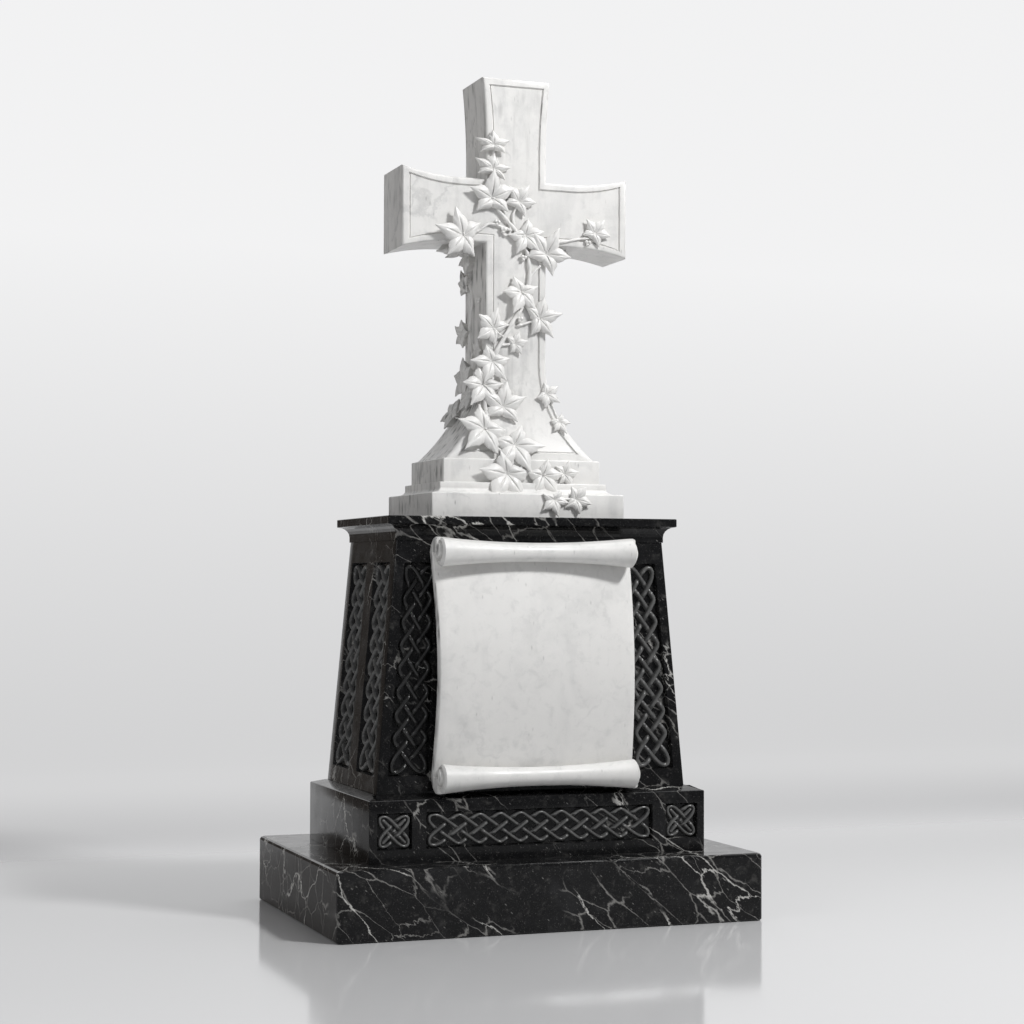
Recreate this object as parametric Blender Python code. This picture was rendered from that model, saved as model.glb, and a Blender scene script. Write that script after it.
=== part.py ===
"""Cross headstone.

A white marble cross with carved ivy stands on a stepped foot of its own. Under it are a black marble
cap, a tapered die with sunk knotwork panels and a blank white scroll, a step and a ground slab.
Lengths are metres, +Z is up and the front faces -Y. The origin is the middle of the slab's underside.
"""

import math

import bmesh
import bpy
from mathutils import Matrix, Vector

# Bedding gap between two stones that touch
JOINT_GAP = 0.0003

# Ground slab
SLAB_WIDTH = 1.07
SLAB_DEPTH = 0.75
SLAB_HEIGHT = 0.163
SLAB_CORNER = 0.014
SLAB_ARRIS = 0.008

# Step, with a shallow wash that rises to the seat of the die
STEP_WIDTH = 0.858
STEP_DEPTH = 0.530
STEP_HEIGHT = 0.1455
STEP_ARRIS = 0.003
WASH_RISE = 0.009
SEAT_MARGIN = 0.005

# Die
DIE_WIDTH = 0.794
DIE_DEPTH = 0.430
DIE_TOP_WIDTH = 0.690
DIE_TOP_DEPTH = 0.3945
DIE_HEIGHT = 0.599
DIE_ARRIS = 0.004

# Cap
CAP_OVERHANG = 0.028
CAP_HEIGHT = 0.058
CAP_BAND = 0.019
CAP_LIP = 0.0025
CAP_NECK_SHARE = 0.30

# Flat parts that stand for a quarter turn of a moulding
CAP_HOLLOW_PARTS = 5
FOOT_HOLLOW_PARTS = 4

# Sunk knotwork panels
PANEL_SINK = 0.013
PANEL_BEVEL = 0.005
PANEL_EDGE = 0.024
FRONT_PANEL_WIDTH = 0.104
FRONT_PANEL_TOP_WIDTH = 0.082
FRONT_PANEL_FOOT = 0.040
FRONT_PANEL_HEAD = 0.052
SIDE_PANEL_SPACING = 0.062
SIDE_PANEL_EDGE = 0.037
BACK_PANEL_EDGE = 0.060
LONG_PANEL_LENGTH = 0.580
STEP_PANEL_MARGIN = 0.030
SQUARE_PANEL_EDGE = 0.019

# Carved strands in the panels
DIE_STRAND = 0.0110
STEP_STRAND = 0.0085
STRAND_RISE = 0.0095
STRAND_SINK = 0.002
STRAND_GAP = 0.0012
STRAND_WALL_GAP = 0.0012
DIE_PLAIT_PITCH = 0.0555
STEP_PLAIT_PITCH = 0.0530

# Diagonal bars of the square knot, as shares of half the knot from its middle, and the sharpest mitre
KNOT_BAR_TIP = 0.64
KNOT_BAR_SIDE = 0.25
MITRE_LEAST = 0.45

# Scroll
SCROLL_WIDTH = 0.506
SCROLL_EDGE_DEPTH = 0.026
SCROLL_BULGE = 0.032
ROLL_LENGTH = 0.526
ROLL_STAND = 0.020
SHEET_LAP = 0.026
ROLL_END_DIAMETER = 0.069
ROLL_MIDDLE_DIAMETER = 0.044
TOP_ROLL_HEIGHT = 0.571
BOTTOM_ROLL_LIFT = 0.003
VOLUTE_RISE = 0.004
ROLL_SIDES = 16
ROLL_STATIONS = (-0.80, -0.45, 0.0, 0.45, 0.80)
VOLUTE_SHARE = 0.62
VOLUTE_TAPER = 0.9
SHEET_PARTS = 8

# Foot of the cross: lower step, moulding with a fillet, upper step
FOOT_WIDTH = 0.501
FOOT_DEPTH = 0.354
FOOT_LOWER = 0.059
FOOT_MOULDING = 0.027
FOOT_FILLET = 0.014
FOOT_FILLET_PROUD = 0.013
FOOT_UPPER_WIDTH = 0.411
FOOT_UPPER_DEPTH = 0.256
FOOT_UPPER = 0.0585
FOOT_ARRIS = 0.003

# Cross
CROSS_HEIGHT = 0.953
CROSS_DEPTH = 0.160
CROSS_BASE_DEPTH = 0.232
STEM_WIDTH = 0.160
BASE_WIDTH = 0.391
FLARE_HEIGHT = 0.250
FLARE_POWER = 2.2
FLARE_PARTS = 5
FLARE_SPACING = 1.25
ARM_SPAN = 0.596
ARM_CENTRE = 0.6195
ARM_WIDTH = 0.159
ARM_END_WIDTH = 0.200
TOP_END_WIDTH = 0.180
ARM_STRAIGHT = 0.065
ARM_STATIONS = (0.0, 0.55, 1.0)
CROSS_ARRIS = 0.006
BORDER_INSET = 0.019
BORDER_WIDTH = 0.004
BORDER_DEPTH = 0.003
CROSS_SINK = 0.010

# Ivy
LEAF_RISE = 0.21
LEAF_SINK = 0.0022
LAYER = 0.00011
BROAD_LEAF = 0.085
VINE_WIDTH = 0.0095
VINE_RISE = 0.0048
VINE_CREST = 0.0050
VINE_SINK = 0.0012
BUD_RADIUS = 0.007
BUD_LIFT = 0.0025
VINE_PARTS = 2
LEAN_STEP = 0.002

# Each leaf: face, place across in half widths, place up in metres above the foot,
# span from tip to tip in metres, direction of the middle lobe in degrees, squash along that direction
LEAVES = [
    ("front", -0.80, 0.782, 0.072, 95, 0.60),
    ("front", -0.84, 0.722, 0.080, 80, 0.60),
    ("front", -0.85, 0.646, 0.098, 92, 1.0),
    ("front", 0.05, 0.645, 0.066, 60, 1.0),
    ("front", -2.05, 0.566, 0.098, 165, 1.0),
    ("front", 0.27, 0.562, 0.070, 311, 1.0),
    ("front", 0.96, 0.518, 0.096, 59, 1.0),
    ("front", 2.62, 0.578, 0.058, 62, 1.0),
    ("front", 0.16, 0.418, 0.078, 246, 1.0),
    ("front", 0.72, 0.362, 0.072, 15, 1.0),
    ("front", -0.78, 0.326, 0.068, 145, 1.0),
    ("front", -0.06, 0.290, 0.042, 10, 1.0),
    ("front", -0.80, 0.244, 0.080, 245, 1.0),
    ("front", -1.10, 0.184, 0.088, 236, 1.0),
    ("front", -0.50, 0.128, 0.088, 84, 1.0),
    ("front", -1.02, 0.070, 0.094, 228, 1.0),
    ("front", -0.05, 0.034, 0.098, 292, 1.0),
    ("front", 0.98, 0.170, 0.050, 330, 1.0),
    ("front", 1.38, 0.096, 0.038, 300, 1.0),
    ("left", 0.42, 0.440, 0.044, 100, 1.0),
    ("left", -0.15, 0.532, 0.060, 200, 0.8),
    ("left", -0.55, 0.318, 0.055, 150, 1.0),
    ("left", 0.05, 0.205, 0.070, 170, 1.0),
    ("left", 0.25, 0.150, 0.055, 240, 1.0),
    ("left", -0.27, 0.098, 0.062, 210, 1.0),
    ("foot", -0.10, -0.040, 0.104, 232, 1.0),
    ("foot", 0.29, -0.036, 0.052, 300, 1.0),
    ("foot", 0.56, -0.036, 0.036, 250, 1.0),
    ("toe", 0.27, -0.098, 0.046, 280, 1.0),
    ("toe", 0.48, -0.098, 0.050, 340, 1.0),
]

# Each stem of ivy: face, then places across in half widths and up in metres above the foot
VINES = [
    ("front", [(-0.30, 0.002), (-1.10, 0.046), (-1.00, 0.088), (-1.06, 0.152), (-0.78, 0.208), (-0.72, 0.258),
               (-0.36, 0.311), (-0.10, 0.349), (0.20, 0.385), (0.42, 0.451), (0.40, 0.496), (0.30, 0.528),
               (-0.06, 0.574), (-0.44, 0.607), (-0.70, 0.640), (-0.78, 0.748), (-0.74, 0.790)]),
    ("front", [(-0.08, 0.578), (-0.12, 0.612), (0.05, 0.640)]),
    ("front", [(-0.14, 0.572), (-0.42, 0.578), (-0.90, 0.586), (-1.30, 0.566), (-1.80, 0.562)]),
    ("front", [(0.43, 0.456), (0.60, 0.474), (0.85, 0.492)]),
    ("front", [(0.95, 0.545), (1.60, 0.553), (2.10, 0.562), (2.50, 0.566)]),
    ("front", [(0.00, 0.335), (0.30, 0.342), (0.62, 0.352)]),
    ("front", [(-0.60, 0.285), (-0.30, 0.288)]),
    ("left", [(-0.30, 0.530), (-0.05, 0.500), (0.20, 0.440), (0.10, 0.360), (-0.20, 0.310), (0.05, 0.260),
              (0.10, 0.200), (0.15, 0.150), (-0.10, 0.100)]),
]

# Buds: face, place across in half widths, place up in metres above the foot
BUDS = [
    ("front", -0.66, 0.590),
    ("front", 2.38, 0.553),
    ("front", 0.22, 0.506),
    ("front", 0.10, 0.352),
]

# Ivy leaf outline: lobe direction from the middle lobe in degrees, and length in leaf spans
LOBES = [(0, 0.56), (66, 0.50), (136, 0.42), (-136, 0.42), (-66, 0.50)]
LOBE_NOTCH = 0.33
STALK_NOTCH = 0.20
SHOULDER_REACH = 0.70
SHOULDER_ANGLE = 18

# Height of a leaf's rim and middle, in shares of its rise
TIP_HEIGHT = 0.30
SHOULDER_HEIGHT = 1.0
NOTCH_HEIGHT = 0.62
STALK_HEIGHT = 0.45
MIDDLE_HEIGHT = 0.5

# Heights worked out from the sizes above
SLAB_TOP = SLAB_HEIGHT
STEP_FOOT = SLAB_TOP + JOINT_GAP
STEP_EDGE_TOP = STEP_FOOT + STEP_HEIGHT
STEP_TOP = STEP_EDGE_TOP + WASH_RISE
DIE_FOOT = STEP_TOP + JOINT_GAP
DIE_TOP = DIE_FOOT + DIE_HEIGHT
CAP_FOOT = DIE_TOP + JOINT_GAP
CAP_TOP = CAP_FOOT + CAP_HEIGHT
FOOT_BASE = CAP_TOP + JOINT_GAP
FOOT_TOP = FOOT_BASE + FOOT_LOWER + FOOT_MOULDING + FOOT_UPPER
CAP_WIDTH = DIE_TOP_WIDTH + 2 * CAP_OVERHANG
CAP_DEPTH = DIE_TOP_DEPTH + 2 * CAP_OVERHANG


def clear_scene():
    """Remove every object that is in the scene."""
    for thing in list(bpy.data.objects):
        bpy.data.objects.remove(thing, do_unlink=True)


def stone(name, colour, roughness):
    """Material with one colour and roughness."""
    material = bpy.data.materials.new(name)
    material.use_nodes = True
    shader = material.node_tree.nodes["Principled BSDF"]
    shader.inputs["Base Color"].default_value = (*colour, 1.0)
    shader.inputs["Roughness"].default_value = roughness
    shader.inputs["Metallic"].default_value = 0.0
    material.diffuse_color = (*colour, 1.0)
    return material


def new_object(name, bm, material=None):
    """Turn a bmesh into an object of the scene, in triangles so that every face is flat where it is cut."""
    bmesh.ops.triangulate(bm, faces=bm.faces)
    bmesh.ops.recalc_face_normals(bm, faces=bm.faces)
    mesh = bpy.data.meshes.new(name)
    bm.to_mesh(mesh)
    bm.free()
    thing = bpy.data.objects.new(name, mesh)
    bpy.context.scene.collection.objects.link(thing)
    if material:
        mesh.materials.append(material)
    return thing


def hide_tool(thing):
    """Mark an object as a cutter or a guide."""
    thing.hide_render = True
    thing.display_type = "WIRE"
    return thing


def combine(thing, tool, operation, solver="EXACT"):
    """Cut one object out of another, or join it on."""
    boolean = thing.modifiers.new(tool.name, "BOOLEAN")
    boolean.object = hide_tool(tool)
    boolean.operation = operation
    boolean.solver = solver


def skin(bm, rings, close=True):
    """Join rings of equally many points with faces, and close both ends."""
    verts = [[bm.verts.new(point) for point in ring] for ring in rings]
    count = len(rings[0])
    for low, high in zip(verts, verts[1:]):
        for i in range(count):
            j = (i + 1) % count
            bm.faces.new((low[i], low[j], high[j], high[i]))
    if close:
        bm.faces.new(verts[0][::-1])
        bm.faces.new(verts[-1])
    return verts


def rounded_rectangle(width, depth, z, radius, parts):
    """Points of a rectangle with round corners, each corner a quarter circle in equal parts."""
    points = []
    for turn, (sx, sy) in enumerate([(1, 1), (-1, 1), (-1, -1), (1, -1)]):
        centre = Vector((sx * (width / 2 - radius), sy * (depth / 2 - radius), z))
        for i in range(parts + 1):
            angle = math.radians(90 * (turn + i / parts))
            points.append(centre + radius * Vector((math.cos(angle), math.sin(angle), 0)))
    return points


def block(name, rings, radius, parts, material):
    """Stone with rounded upright edges. A ring is its width, depth and height."""
    bm = bmesh.new()
    skin(bm, [rounded_rectangle(w, d, z, radius, parts) for w, d, z in rings])
    return new_object(name, bm, material)


def base_slab(material):
    """Plain slab with softened edges."""
    soft = SLAB_ARRIS
    third = soft * (1 - math.cos(math.radians(45)))
    rings = [
        (SLAB_WIDTH - soft, SLAB_DEPTH - soft, 0.0),
        (SLAB_WIDTH, SLAB_DEPTH, soft / 2),
        (SLAB_WIDTH, SLAB_DEPTH, SLAB_TOP - soft),
        (SLAB_WIDTH - 2 * third, SLAB_DEPTH - 2 * third, SLAB_TOP - third),
        (SLAB_WIDTH - 2 * soft, SLAB_DEPTH - 2 * soft, SLAB_TOP),
    ]
    return block("base_slab", rings, SLAB_CORNER, 4, material)


def panel_point(panel, s, t, out=0.0):
    """Point of a panel at the shares s and t of its sides, standing out from its face."""
    low = panel["corners"][0].lerp(panel["corners"][1], s)
    high = panel["corners"][3].lerp(panel["corners"][2], s)
    return low.lerp(high, t) + out * panel["normal"]


def make_panel(corners, strand=0.0, pitch=0.0):
    """Panel from its four corners, bottom left first and anticlockwise as seen from outside.

    Its knot has strands of the width given, and a panel without a pitch holds the square knot.
    """
    corners = [Vector(c) for c in corners]
    normal = (corners[1] - corners[0]).cross(corners[3] - corners[0]).normalized()
    return {"corners": corners, "normal": normal, "strand": strand, "pitch": pitch}


def inset_panel(panel, margin):
    """The same panel with its sides moved in by a margin."""
    a, b, c, d = panel["corners"]
    s = margin / ((b - a).length + (c - d).length) * 2
    t = margin / ((d - a).length + (c - b).length) * 2
    corners = [panel_point(panel, *st) for st in ((s, t), (1 - s, t), (1 - s, 1 - t), (s, 1 - t))]
    return {**panel, "corners": corners}


def panel_cutter(name, panels):
    """One cutter for the hollows of several panels, each narrowing to its floor."""
    bm = bmesh.new()
    for panel in panels:
        slope = PANEL_BEVEL / PANEL_SINK
        floor = inset_panel(panel, PANEL_BEVEL)
        mouth = inset_panel(panel, -PANEL_BEVEL * slope)
        rings = []
        for shape, out in ((floor, -PANEL_SINK), (mouth, PANEL_BEVEL)):
            rings.append([corner + out * panel["normal"] for corner in shape["corners"]])
        skin(bm, rings)
    return new_object(name, bm)


def strand_paths(columns, rows):
    """Strands of a plait on a grid of columns and rows, one for each crossing where it passes over.

    A strand leaves its crossing on both sides, turns back where it meets the border, and ends short of
    the next crossing, where it would pass under. In a corner of the grid it runs out to a point.
    """
    paths = []
    crossings = [(i, j + 0.5, -1) for i in range(1, columns) for j in range(rows)]
    crossings += [(i + 0.5, j, 1) for i in range(columns) for j in range(1, rows)]
    for x, y, lean in crossings:
        ends = []
        for sign in (-1, 1):
            dx, dy = 0.5 * sign, 0.5 * sign * lean
            px, py = x + dx, y + dy
            turns = []
            while px in (0, columns) or py in (0, rows):
                turns.append((px, py))
                if px in (0, columns):
                    dx = -dx
                if py in (0, rows):
                    dy = -dy
                px, py = px + dx, py + dy
            if len(turns) == 2:
                corner = [round(turns[0][0] / columns) * columns, round(turns[0][1] / rows) * rows]
                turns.insert(1, corner)
            ends.append(turns + [(px, py)])
        paths.append(ends[0][::-1] + ends[1])
    return paths


def cross_bars(under):
    """Diagonal bars of a square knot, in the two by two grid of its plait.

    Each is its path and how far both of its ends are drawn back from what it passes under.
    """
    tip, side = KNOT_BAR_TIP, KNOT_BAR_SIDE
    bars = [([(1 - side, 1 - side), (1 + side, 1 + side)], under, under)]
    for sx in (-1, 1):
        for sy in (-1, 1):
            tuck = (1 + sx * side, 1 + sy * side)
            bars.append(([(1 + sx * tip, 1 + sy * tip), tuck], 0.0, under))
    return bars


def shorten(points, first, last):
    """Path whose two ends are drawn back by the lengths given."""
    start = points[0] + (points[1] - points[0]).normalized() * first
    end = points[-1] + (points[-2] - points[-1]).normalized() * last
    return [start, *points[1:-1], end]


def strand_edges(points, normal, half):
    """The two edges of a strip along a path, mitred at its bends."""
    left, right = [], []
    for i, point in enumerate(points):
        before = (point - points[i - 1]).normalized() if i else None
        after = (points[i + 1] - point).normalized() if i + 1 < len(points) else None
        before, after = before or after, after or before
        along = (before + after).normalized()
        across = normal.cross(along)
        reach = half / max(across.dot(normal.cross(before)), MITRE_LEAST)
        left.append(point + across * reach)
        right.append(point - across * reach)
    return left, right


def add_strand(bm, points, normal, width):
    """Raised strand along a path on the floor of a panel: a ridge with two sloping sides and sloping ends."""
    half = width / 2
    left, right = strand_edges(points, normal, half)
    ridge = shorten(points, half / 2, half / 2)
    low = (-PANEL_SINK - STRAND_SINK) * normal
    high = (-PANEL_SINK + STRAND_RISE) * normal
    skin(bm, [(a + low, b + low, top + high) for a, b, top in zip(left, right, ridge)])


def panel_strands(bm, panel):
    """All strands of one panel."""
    width = (panel["corners"][1] - panel["corners"][0]).length
    height = (panel["corners"][3] - panel["corners"][0]).length
    strand = panel["strand"]
    field = inset_panel(panel, PANEL_BEVEL + STRAND_WALL_GAP + strand / math.sqrt(2))
    columns, rows = 2, 2
    if panel["pitch"] and width > height:
        columns = max(2, round(width / panel["pitch"]))
    elif panel["pitch"]:
        rows = max(2, round(height / panel["pitch"]))
    a, b, c, d = field["corners"]
    tall = ((c - b).length + (d - a).length) / rows
    wide = ((b - a).length + (c - d).length) / columns
    angle = 2 * math.atan2(tall, wide)
    under = (strand / 2 * (1 + abs(math.cos(angle))) + STRAND_GAP) / math.sin(angle)
    paths = [(path, under, under) for path in strand_paths(columns, rows)]
    if not panel["pitch"]:
        paths += cross_bars(under)
    for path, first, last in paths:
        points = [panel_point(field, x / columns, y / rows) for x, y in path]
        add_strand(bm, shorten(points, first, last), panel["normal"], strand)


def carve_panels(thing, name, panels):
    """Sink the panels into a stone and raise their strands."""
    combine(thing, panel_cutter(name + "_hollows", panels), "DIFFERENCE")
    knotted = [panel for panel in panels if panel["strand"]]
    if knotted:
        bm = bmesh.new()
        for panel in knotted:
            panel_strands(bm, panel)
        combine(thing, new_object(name + "_strands", bm), "UNION")


def plinth_step(material):
    """Step with a long knot panel between two square ones in front."""
    soft = STEP_ARRIS
    seat_width = DIE_WIDTH + 2 * SEAT_MARGIN
    seat_depth = DIE_DEPTH + 2 * SEAT_MARGIN
    rings = [
        (STEP_WIDTH, STEP_DEPTH, STEP_FOOT),
        (STEP_WIDTH, STEP_DEPTH, STEP_EDGE_TOP - soft),
        (STEP_WIDTH - 2 * soft, STEP_DEPTH - 2 * soft, STEP_EDGE_TOP),
        (seat_width, seat_depth, STEP_TOP),
    ]
    step = block("plinth_step", rings, soft, 2, material)
    low = STEP_FOOT + STEP_PANEL_MARGIN
    high = STEP_EDGE_TOP - STEP_PANEL_MARGIN
    front = -STEP_DEPTH / 2
    side = high - low
    square_outer = STEP_WIDTH / 2 - SQUARE_PANEL_EDGE
    panels = []
    for left, right, pitch in (
        (-square_outer, -square_outer + side, 0.0),
        (-LONG_PANEL_LENGTH / 2, LONG_PANEL_LENGTH / 2, STEP_PLAIT_PITCH),
        (square_outer - side, square_outer, 0.0),
    ):
        corners = [(left, front, low), (right, front, low), (right, front, high), (left, front, high)]
        panels.append(make_panel(corners, STEP_STRAND, pitch))
    carve_panels(step, "step", panels)
    return step


def die_half(z, foot_size, top_size):
    """Half of the die's width or depth at a height."""
    share = (z - DIE_FOOT) / DIE_HEIGHT
    return (foot_size + (top_size - foot_size) * share) / 2


def die_front(z):
    """Distance of the die's front face from the middle at a height."""
    return die_half(z, DIE_DEPTH, DIE_TOP_DEPTH)


def die_side(z):
    """Distance of the die's side face from the middle at a height."""
    return die_half(z, DIE_WIDTH, DIE_TOP_WIDTH)


def die(material):
    """Tapered block with tall knot panels at its front corners and on its sides."""
    rings = [(DIE_WIDTH, DIE_DEPTH, DIE_FOOT), (DIE_TOP_WIDTH, DIE_TOP_DEPTH, DIE_TOP)]
    body = block("die", rings, DIE_ARRIS, 2, material)
    low = DIE_FOOT + FRONT_PANEL_FOOT
    high = DIE_TOP - FRONT_PANEL_HEAD
    panels = []
    for sign in (-1, 1):
        corners = []
        for z, width in ((low, FRONT_PANEL_WIDTH), (high, FRONT_PANEL_TOP_WIDTH)):
            outer = die_side(z) - PANEL_EDGE
            row = sorted((sign * outer, sign * (outer - width)))
            corners.append([(x, -die_front(z), z) for x in row])
        panels.append(make_panel([*corners[0], *corners[1][::-1]], DIE_STRAND, DIE_PLAIT_PITCH))
        for rear in (-1, 1):
            corners = []
            for z in (low, high):
                reach = sorted((rear * SIDE_PANEL_SPACING / 2, rear * (die_front(z) - SIDE_PANEL_EDGE)))
                corners.append([(sign * die_side(z), y, z) for y in reach[::sign]])
            panels.append(make_panel([*corners[0], *corners[1][::-1]], DIE_STRAND, DIE_PLAIT_PITCH))
    rows = []
    for z in (low, high):
        reach = die_side(z) - BACK_PANEL_EDGE
        rows.append([(reach, die_front(z), z), (-reach, die_front(z), z)])
    panels.append(make_panel([*rows[0], *rows[1][::-1]]))
    carve_panels(body, "die", panels)
    return body


def cornice_cap(material):
    """Cap with a flat band over a hollow moulding."""
    neck_width = DIE_TOP_WIDTH + 2 * CAP_LIP
    neck_depth = DIE_TOP_DEPTH + 2 * CAP_LIP
    reach = CAP_OVERHANG - 2 * CAP_LIP
    moulding = CAP_HEIGHT - CAP_BAND
    neck = CAP_FOOT + moulding * CAP_NECK_SHARE
    rings = [(neck_width, neck_depth, CAP_FOOT), (neck_width, neck_depth, neck)]
    for i in range(CAP_HOLLOW_PARTS + 1):
        angle = math.radians(90 * i / CAP_HOLLOW_PARTS)
        out = 2 * reach * (1 - math.cos(angle))
        z = neck + (moulding - CAP_LIP - (neck - CAP_FOOT)) * math.sin(angle)
        rings.append((neck_width + out, neck_depth + out, z + CAP_LIP / 2))
    band = CAP_TOP - CAP_BAND
    rings += [
        (CAP_WIDTH, CAP_DEPTH, band),
        (CAP_WIDTH, CAP_DEPTH, CAP_TOP - CAP_LIP / 2),
        (CAP_WIDTH - CAP_LIP, CAP_DEPTH - CAP_LIP, CAP_TOP),
    ]
    return block("cornice_cap", rings, CAP_LIP, 1, material)


def roll_rings(centre_y, centre_z):
    """Rings of a roll of the scroll, slimmer in the middle, with a raised coil on each end."""
    rings = []
    half = ROLL_LENGTH / 2
    coil = VOLUTE_SHARE
    slim = ROLL_MIDDLE_DIAMETER / ROLL_END_DIAMETER
    stations = [(-half - VOLUTE_RISE, coil * VOLUTE_TAPER), (-half, coil), (-half, 1.0)]
    for share in ROLL_STATIONS:
        stations.append((share * half, slim + (1 - slim) * abs(share) ** 2))
    stations += [(half, 1.0), (half, coil), (half + VOLUTE_RISE, coil * VOLUTE_TAPER)]
    for x, scale in stations:
        radius = ROLL_END_DIAMETER / 2 * scale
        ring = []
        for k in range(ROLL_SIDES):
            angle = 2 * math.pi * k / ROLL_SIDES
            ring.append(Vector((x, centre_y + radius * math.cos(angle), centre_z + radius * math.sin(angle))))
        rings.append(ring)
    return rings


def sheet_front(share):
    """How far the sheet stands out from the die at a share of its height."""
    return SCROLL_EDGE_DEPTH + SCROLL_BULGE * math.sin(math.pi * share)


def scroll_tablet(material):
    """Blank scroll: a bulged sheet that lies on the die and passes behind an upper and a lower roll."""
    radius = ROLL_END_DIAMETER / 2
    low = STEP_TOP + BOTTOM_ROLL_LIFT + radius
    high = STEP_TOP + TOP_ROLL_HEIGHT
    sheet = bmesh.new()
    rings = []
    for i in range(SHEET_PARTS + 1):
        share = i / SHEET_PARTS
        z = low - SHEET_LAP + (high - low + 2 * SHEET_LAP) * share
        back = -die_front(z) - JOINT_GAP
        front = back - sheet_front(share)
        half = SCROLL_WIDTH / 2
        rings.append([(-half, back, z), (half, back, z), (half, front, z), (-half, front, z)])
    skin(sheet, rings)
    body = new_object("scroll_tablet", sheet, material)
    for name, z in (("lower_roll", low), ("upper_roll", high)):
        reach = max(die_front(z - radius), die_front(z + radius)) + JOINT_GAP
        roll = bmesh.new()
        skin(roll, roll_rings(-reach - ROLL_STAND - radius, z))
        combine(body, new_object(name, roll), "UNION")
    return body


def flare(z):
    """Share of the base flare that is left at a height above the foot."""
    return max(0.0, 1 - max(z, 0.0) / FLARE_HEIGHT) ** FLARE_POWER


def cross_half_depth(z):
    """Half depth of the cross at a height above the foot."""
    return (CROSS_DEPTH + (CROSS_BASE_DEPTH - CROSS_DEPTH) * flare(z)) / 2


def cross_half_width(z):
    """Half width of the stem at a height above the foot."""
    return (STEM_WIDTH + (BASE_WIDTH - STEM_WIDTH) * flare(z)) / 2


def cross_outline(margin, base):
    """Right half of the cross outline, moved in by a margin, from its base to the middle of the top."""
    points = []
    fall = (BASE_WIDTH - STEM_WIDTH) / 2 * FLARE_POWER / FLARE_HEIGHT
    for i in range(FLARE_PARTS):
        z = base + (FLARE_HEIGHT - base) * (i / FLARE_PARTS) ** FLARE_SPACING
        slope = fall * (1 - max(z, 0.0) / FLARE_HEIGHT) ** (FLARE_POWER - 1)
        points.append((cross_half_width(z) - margin * math.hypot(1, slope), z))
    half = STEM_WIDTH / 2
    points.append((half - margin, FLARE_HEIGHT))
    reach = ARM_SPAN / 2
    start = half + ARM_STRAIGHT
    lower = [(half - margin, ARM_CENTRE - ARM_WIDTH / 2 + margin)]
    upper = [(half - margin, ARM_CENTRE + ARM_WIDTH / 2 - margin)]
    for share in ARM_STATIONS:
        x = start + (reach - margin - start) * share
        arm = (ARM_WIDTH + (ARM_END_WIDTH - ARM_WIDTH) * share**2) / 2 - margin
        lower.append((x, ARM_CENTRE - arm))
        upper.append((x, ARM_CENTRE + arm))
    points += lower + upper[::-1]
    start = ARM_CENTRE + ARM_WIDTH / 2 + ARM_STRAIGHT
    for share in ARM_STATIONS:
        z = start + (CROSS_HEIGHT - margin - start) * share
        points.append(((STEM_WIDTH + (TOP_END_WIDTH - STEM_WIDTH) * share**2) / 2 - margin, z))
    return points


def cross_field(bm, field):
    """Close the inside of a face of the cross: a strip up the stem, and a strip along each arm."""
    mirror = len(field) - 1
    low = FLARE_PARTS + 1
    high = low + 2 * len(ARM_STATIONS) + 1
    stem = [*range(low + 1), *range(high, len(field) // 2)]
    strips = [(a, b, mirror - b, mirror - a) for a, b in zip(stem, stem[1:])]
    for k in range(len(ARM_STATIONS)):
        arm = (low + k, low + k + 1, high - k - 1, high - k)
        strips += [arm, [mirror - i for i in arm]]
    for strip in strips:
        bm.faces.new([field[i] for i in strip])


def cross_body(material):
    """Cross with a soft arris all round and a thin sunk border on both faces."""
    edge = BORDER_WIDTH / 2
    loops = [
        (0.0, CROSS_ARRIS, -CROSS_SINK),
        (CROSS_ARRIS, 0.0, -CROSS_SINK),
        (BORDER_INSET - edge, 0.0, BORDER_INSET - edge),
        (BORDER_INSET, BORDER_DEPTH, BORDER_INSET),
        (BORDER_INSET + edge, 0.0, BORDER_INSET + edge),
    ]
    bm = bmesh.new()
    rims = []
    for side in (-1, 1):
        rows = []
        for margin, sink, base in loops:
            right = cross_outline(margin, base)
            outline = right + [(-x, z) for x, z in right[::-1]]
            places = [(x, side * (cross_half_depth(z) - sink), FOOT_TOP + z) for x, z in outline]
            rows.append([bm.verts.new(place) for place in places])
        count = len(rows[0])
        for outer, inner in zip(rows, rows[1:]):
            for i in range(count):
                j = (i + 1) % count
                bm.faces.new((outer[i], outer[j], inner[j], inner[i]))
        cross_field(bm, rows[-1])
        rims.append(rows[0])
    for i in range(count):
        j = (i + 1) % count
        bm.faces.new((rims[0][i], rims[0][j], rims[1][j], rims[1][i]))
    return new_object("ivy_cross", bm, material)


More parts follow.
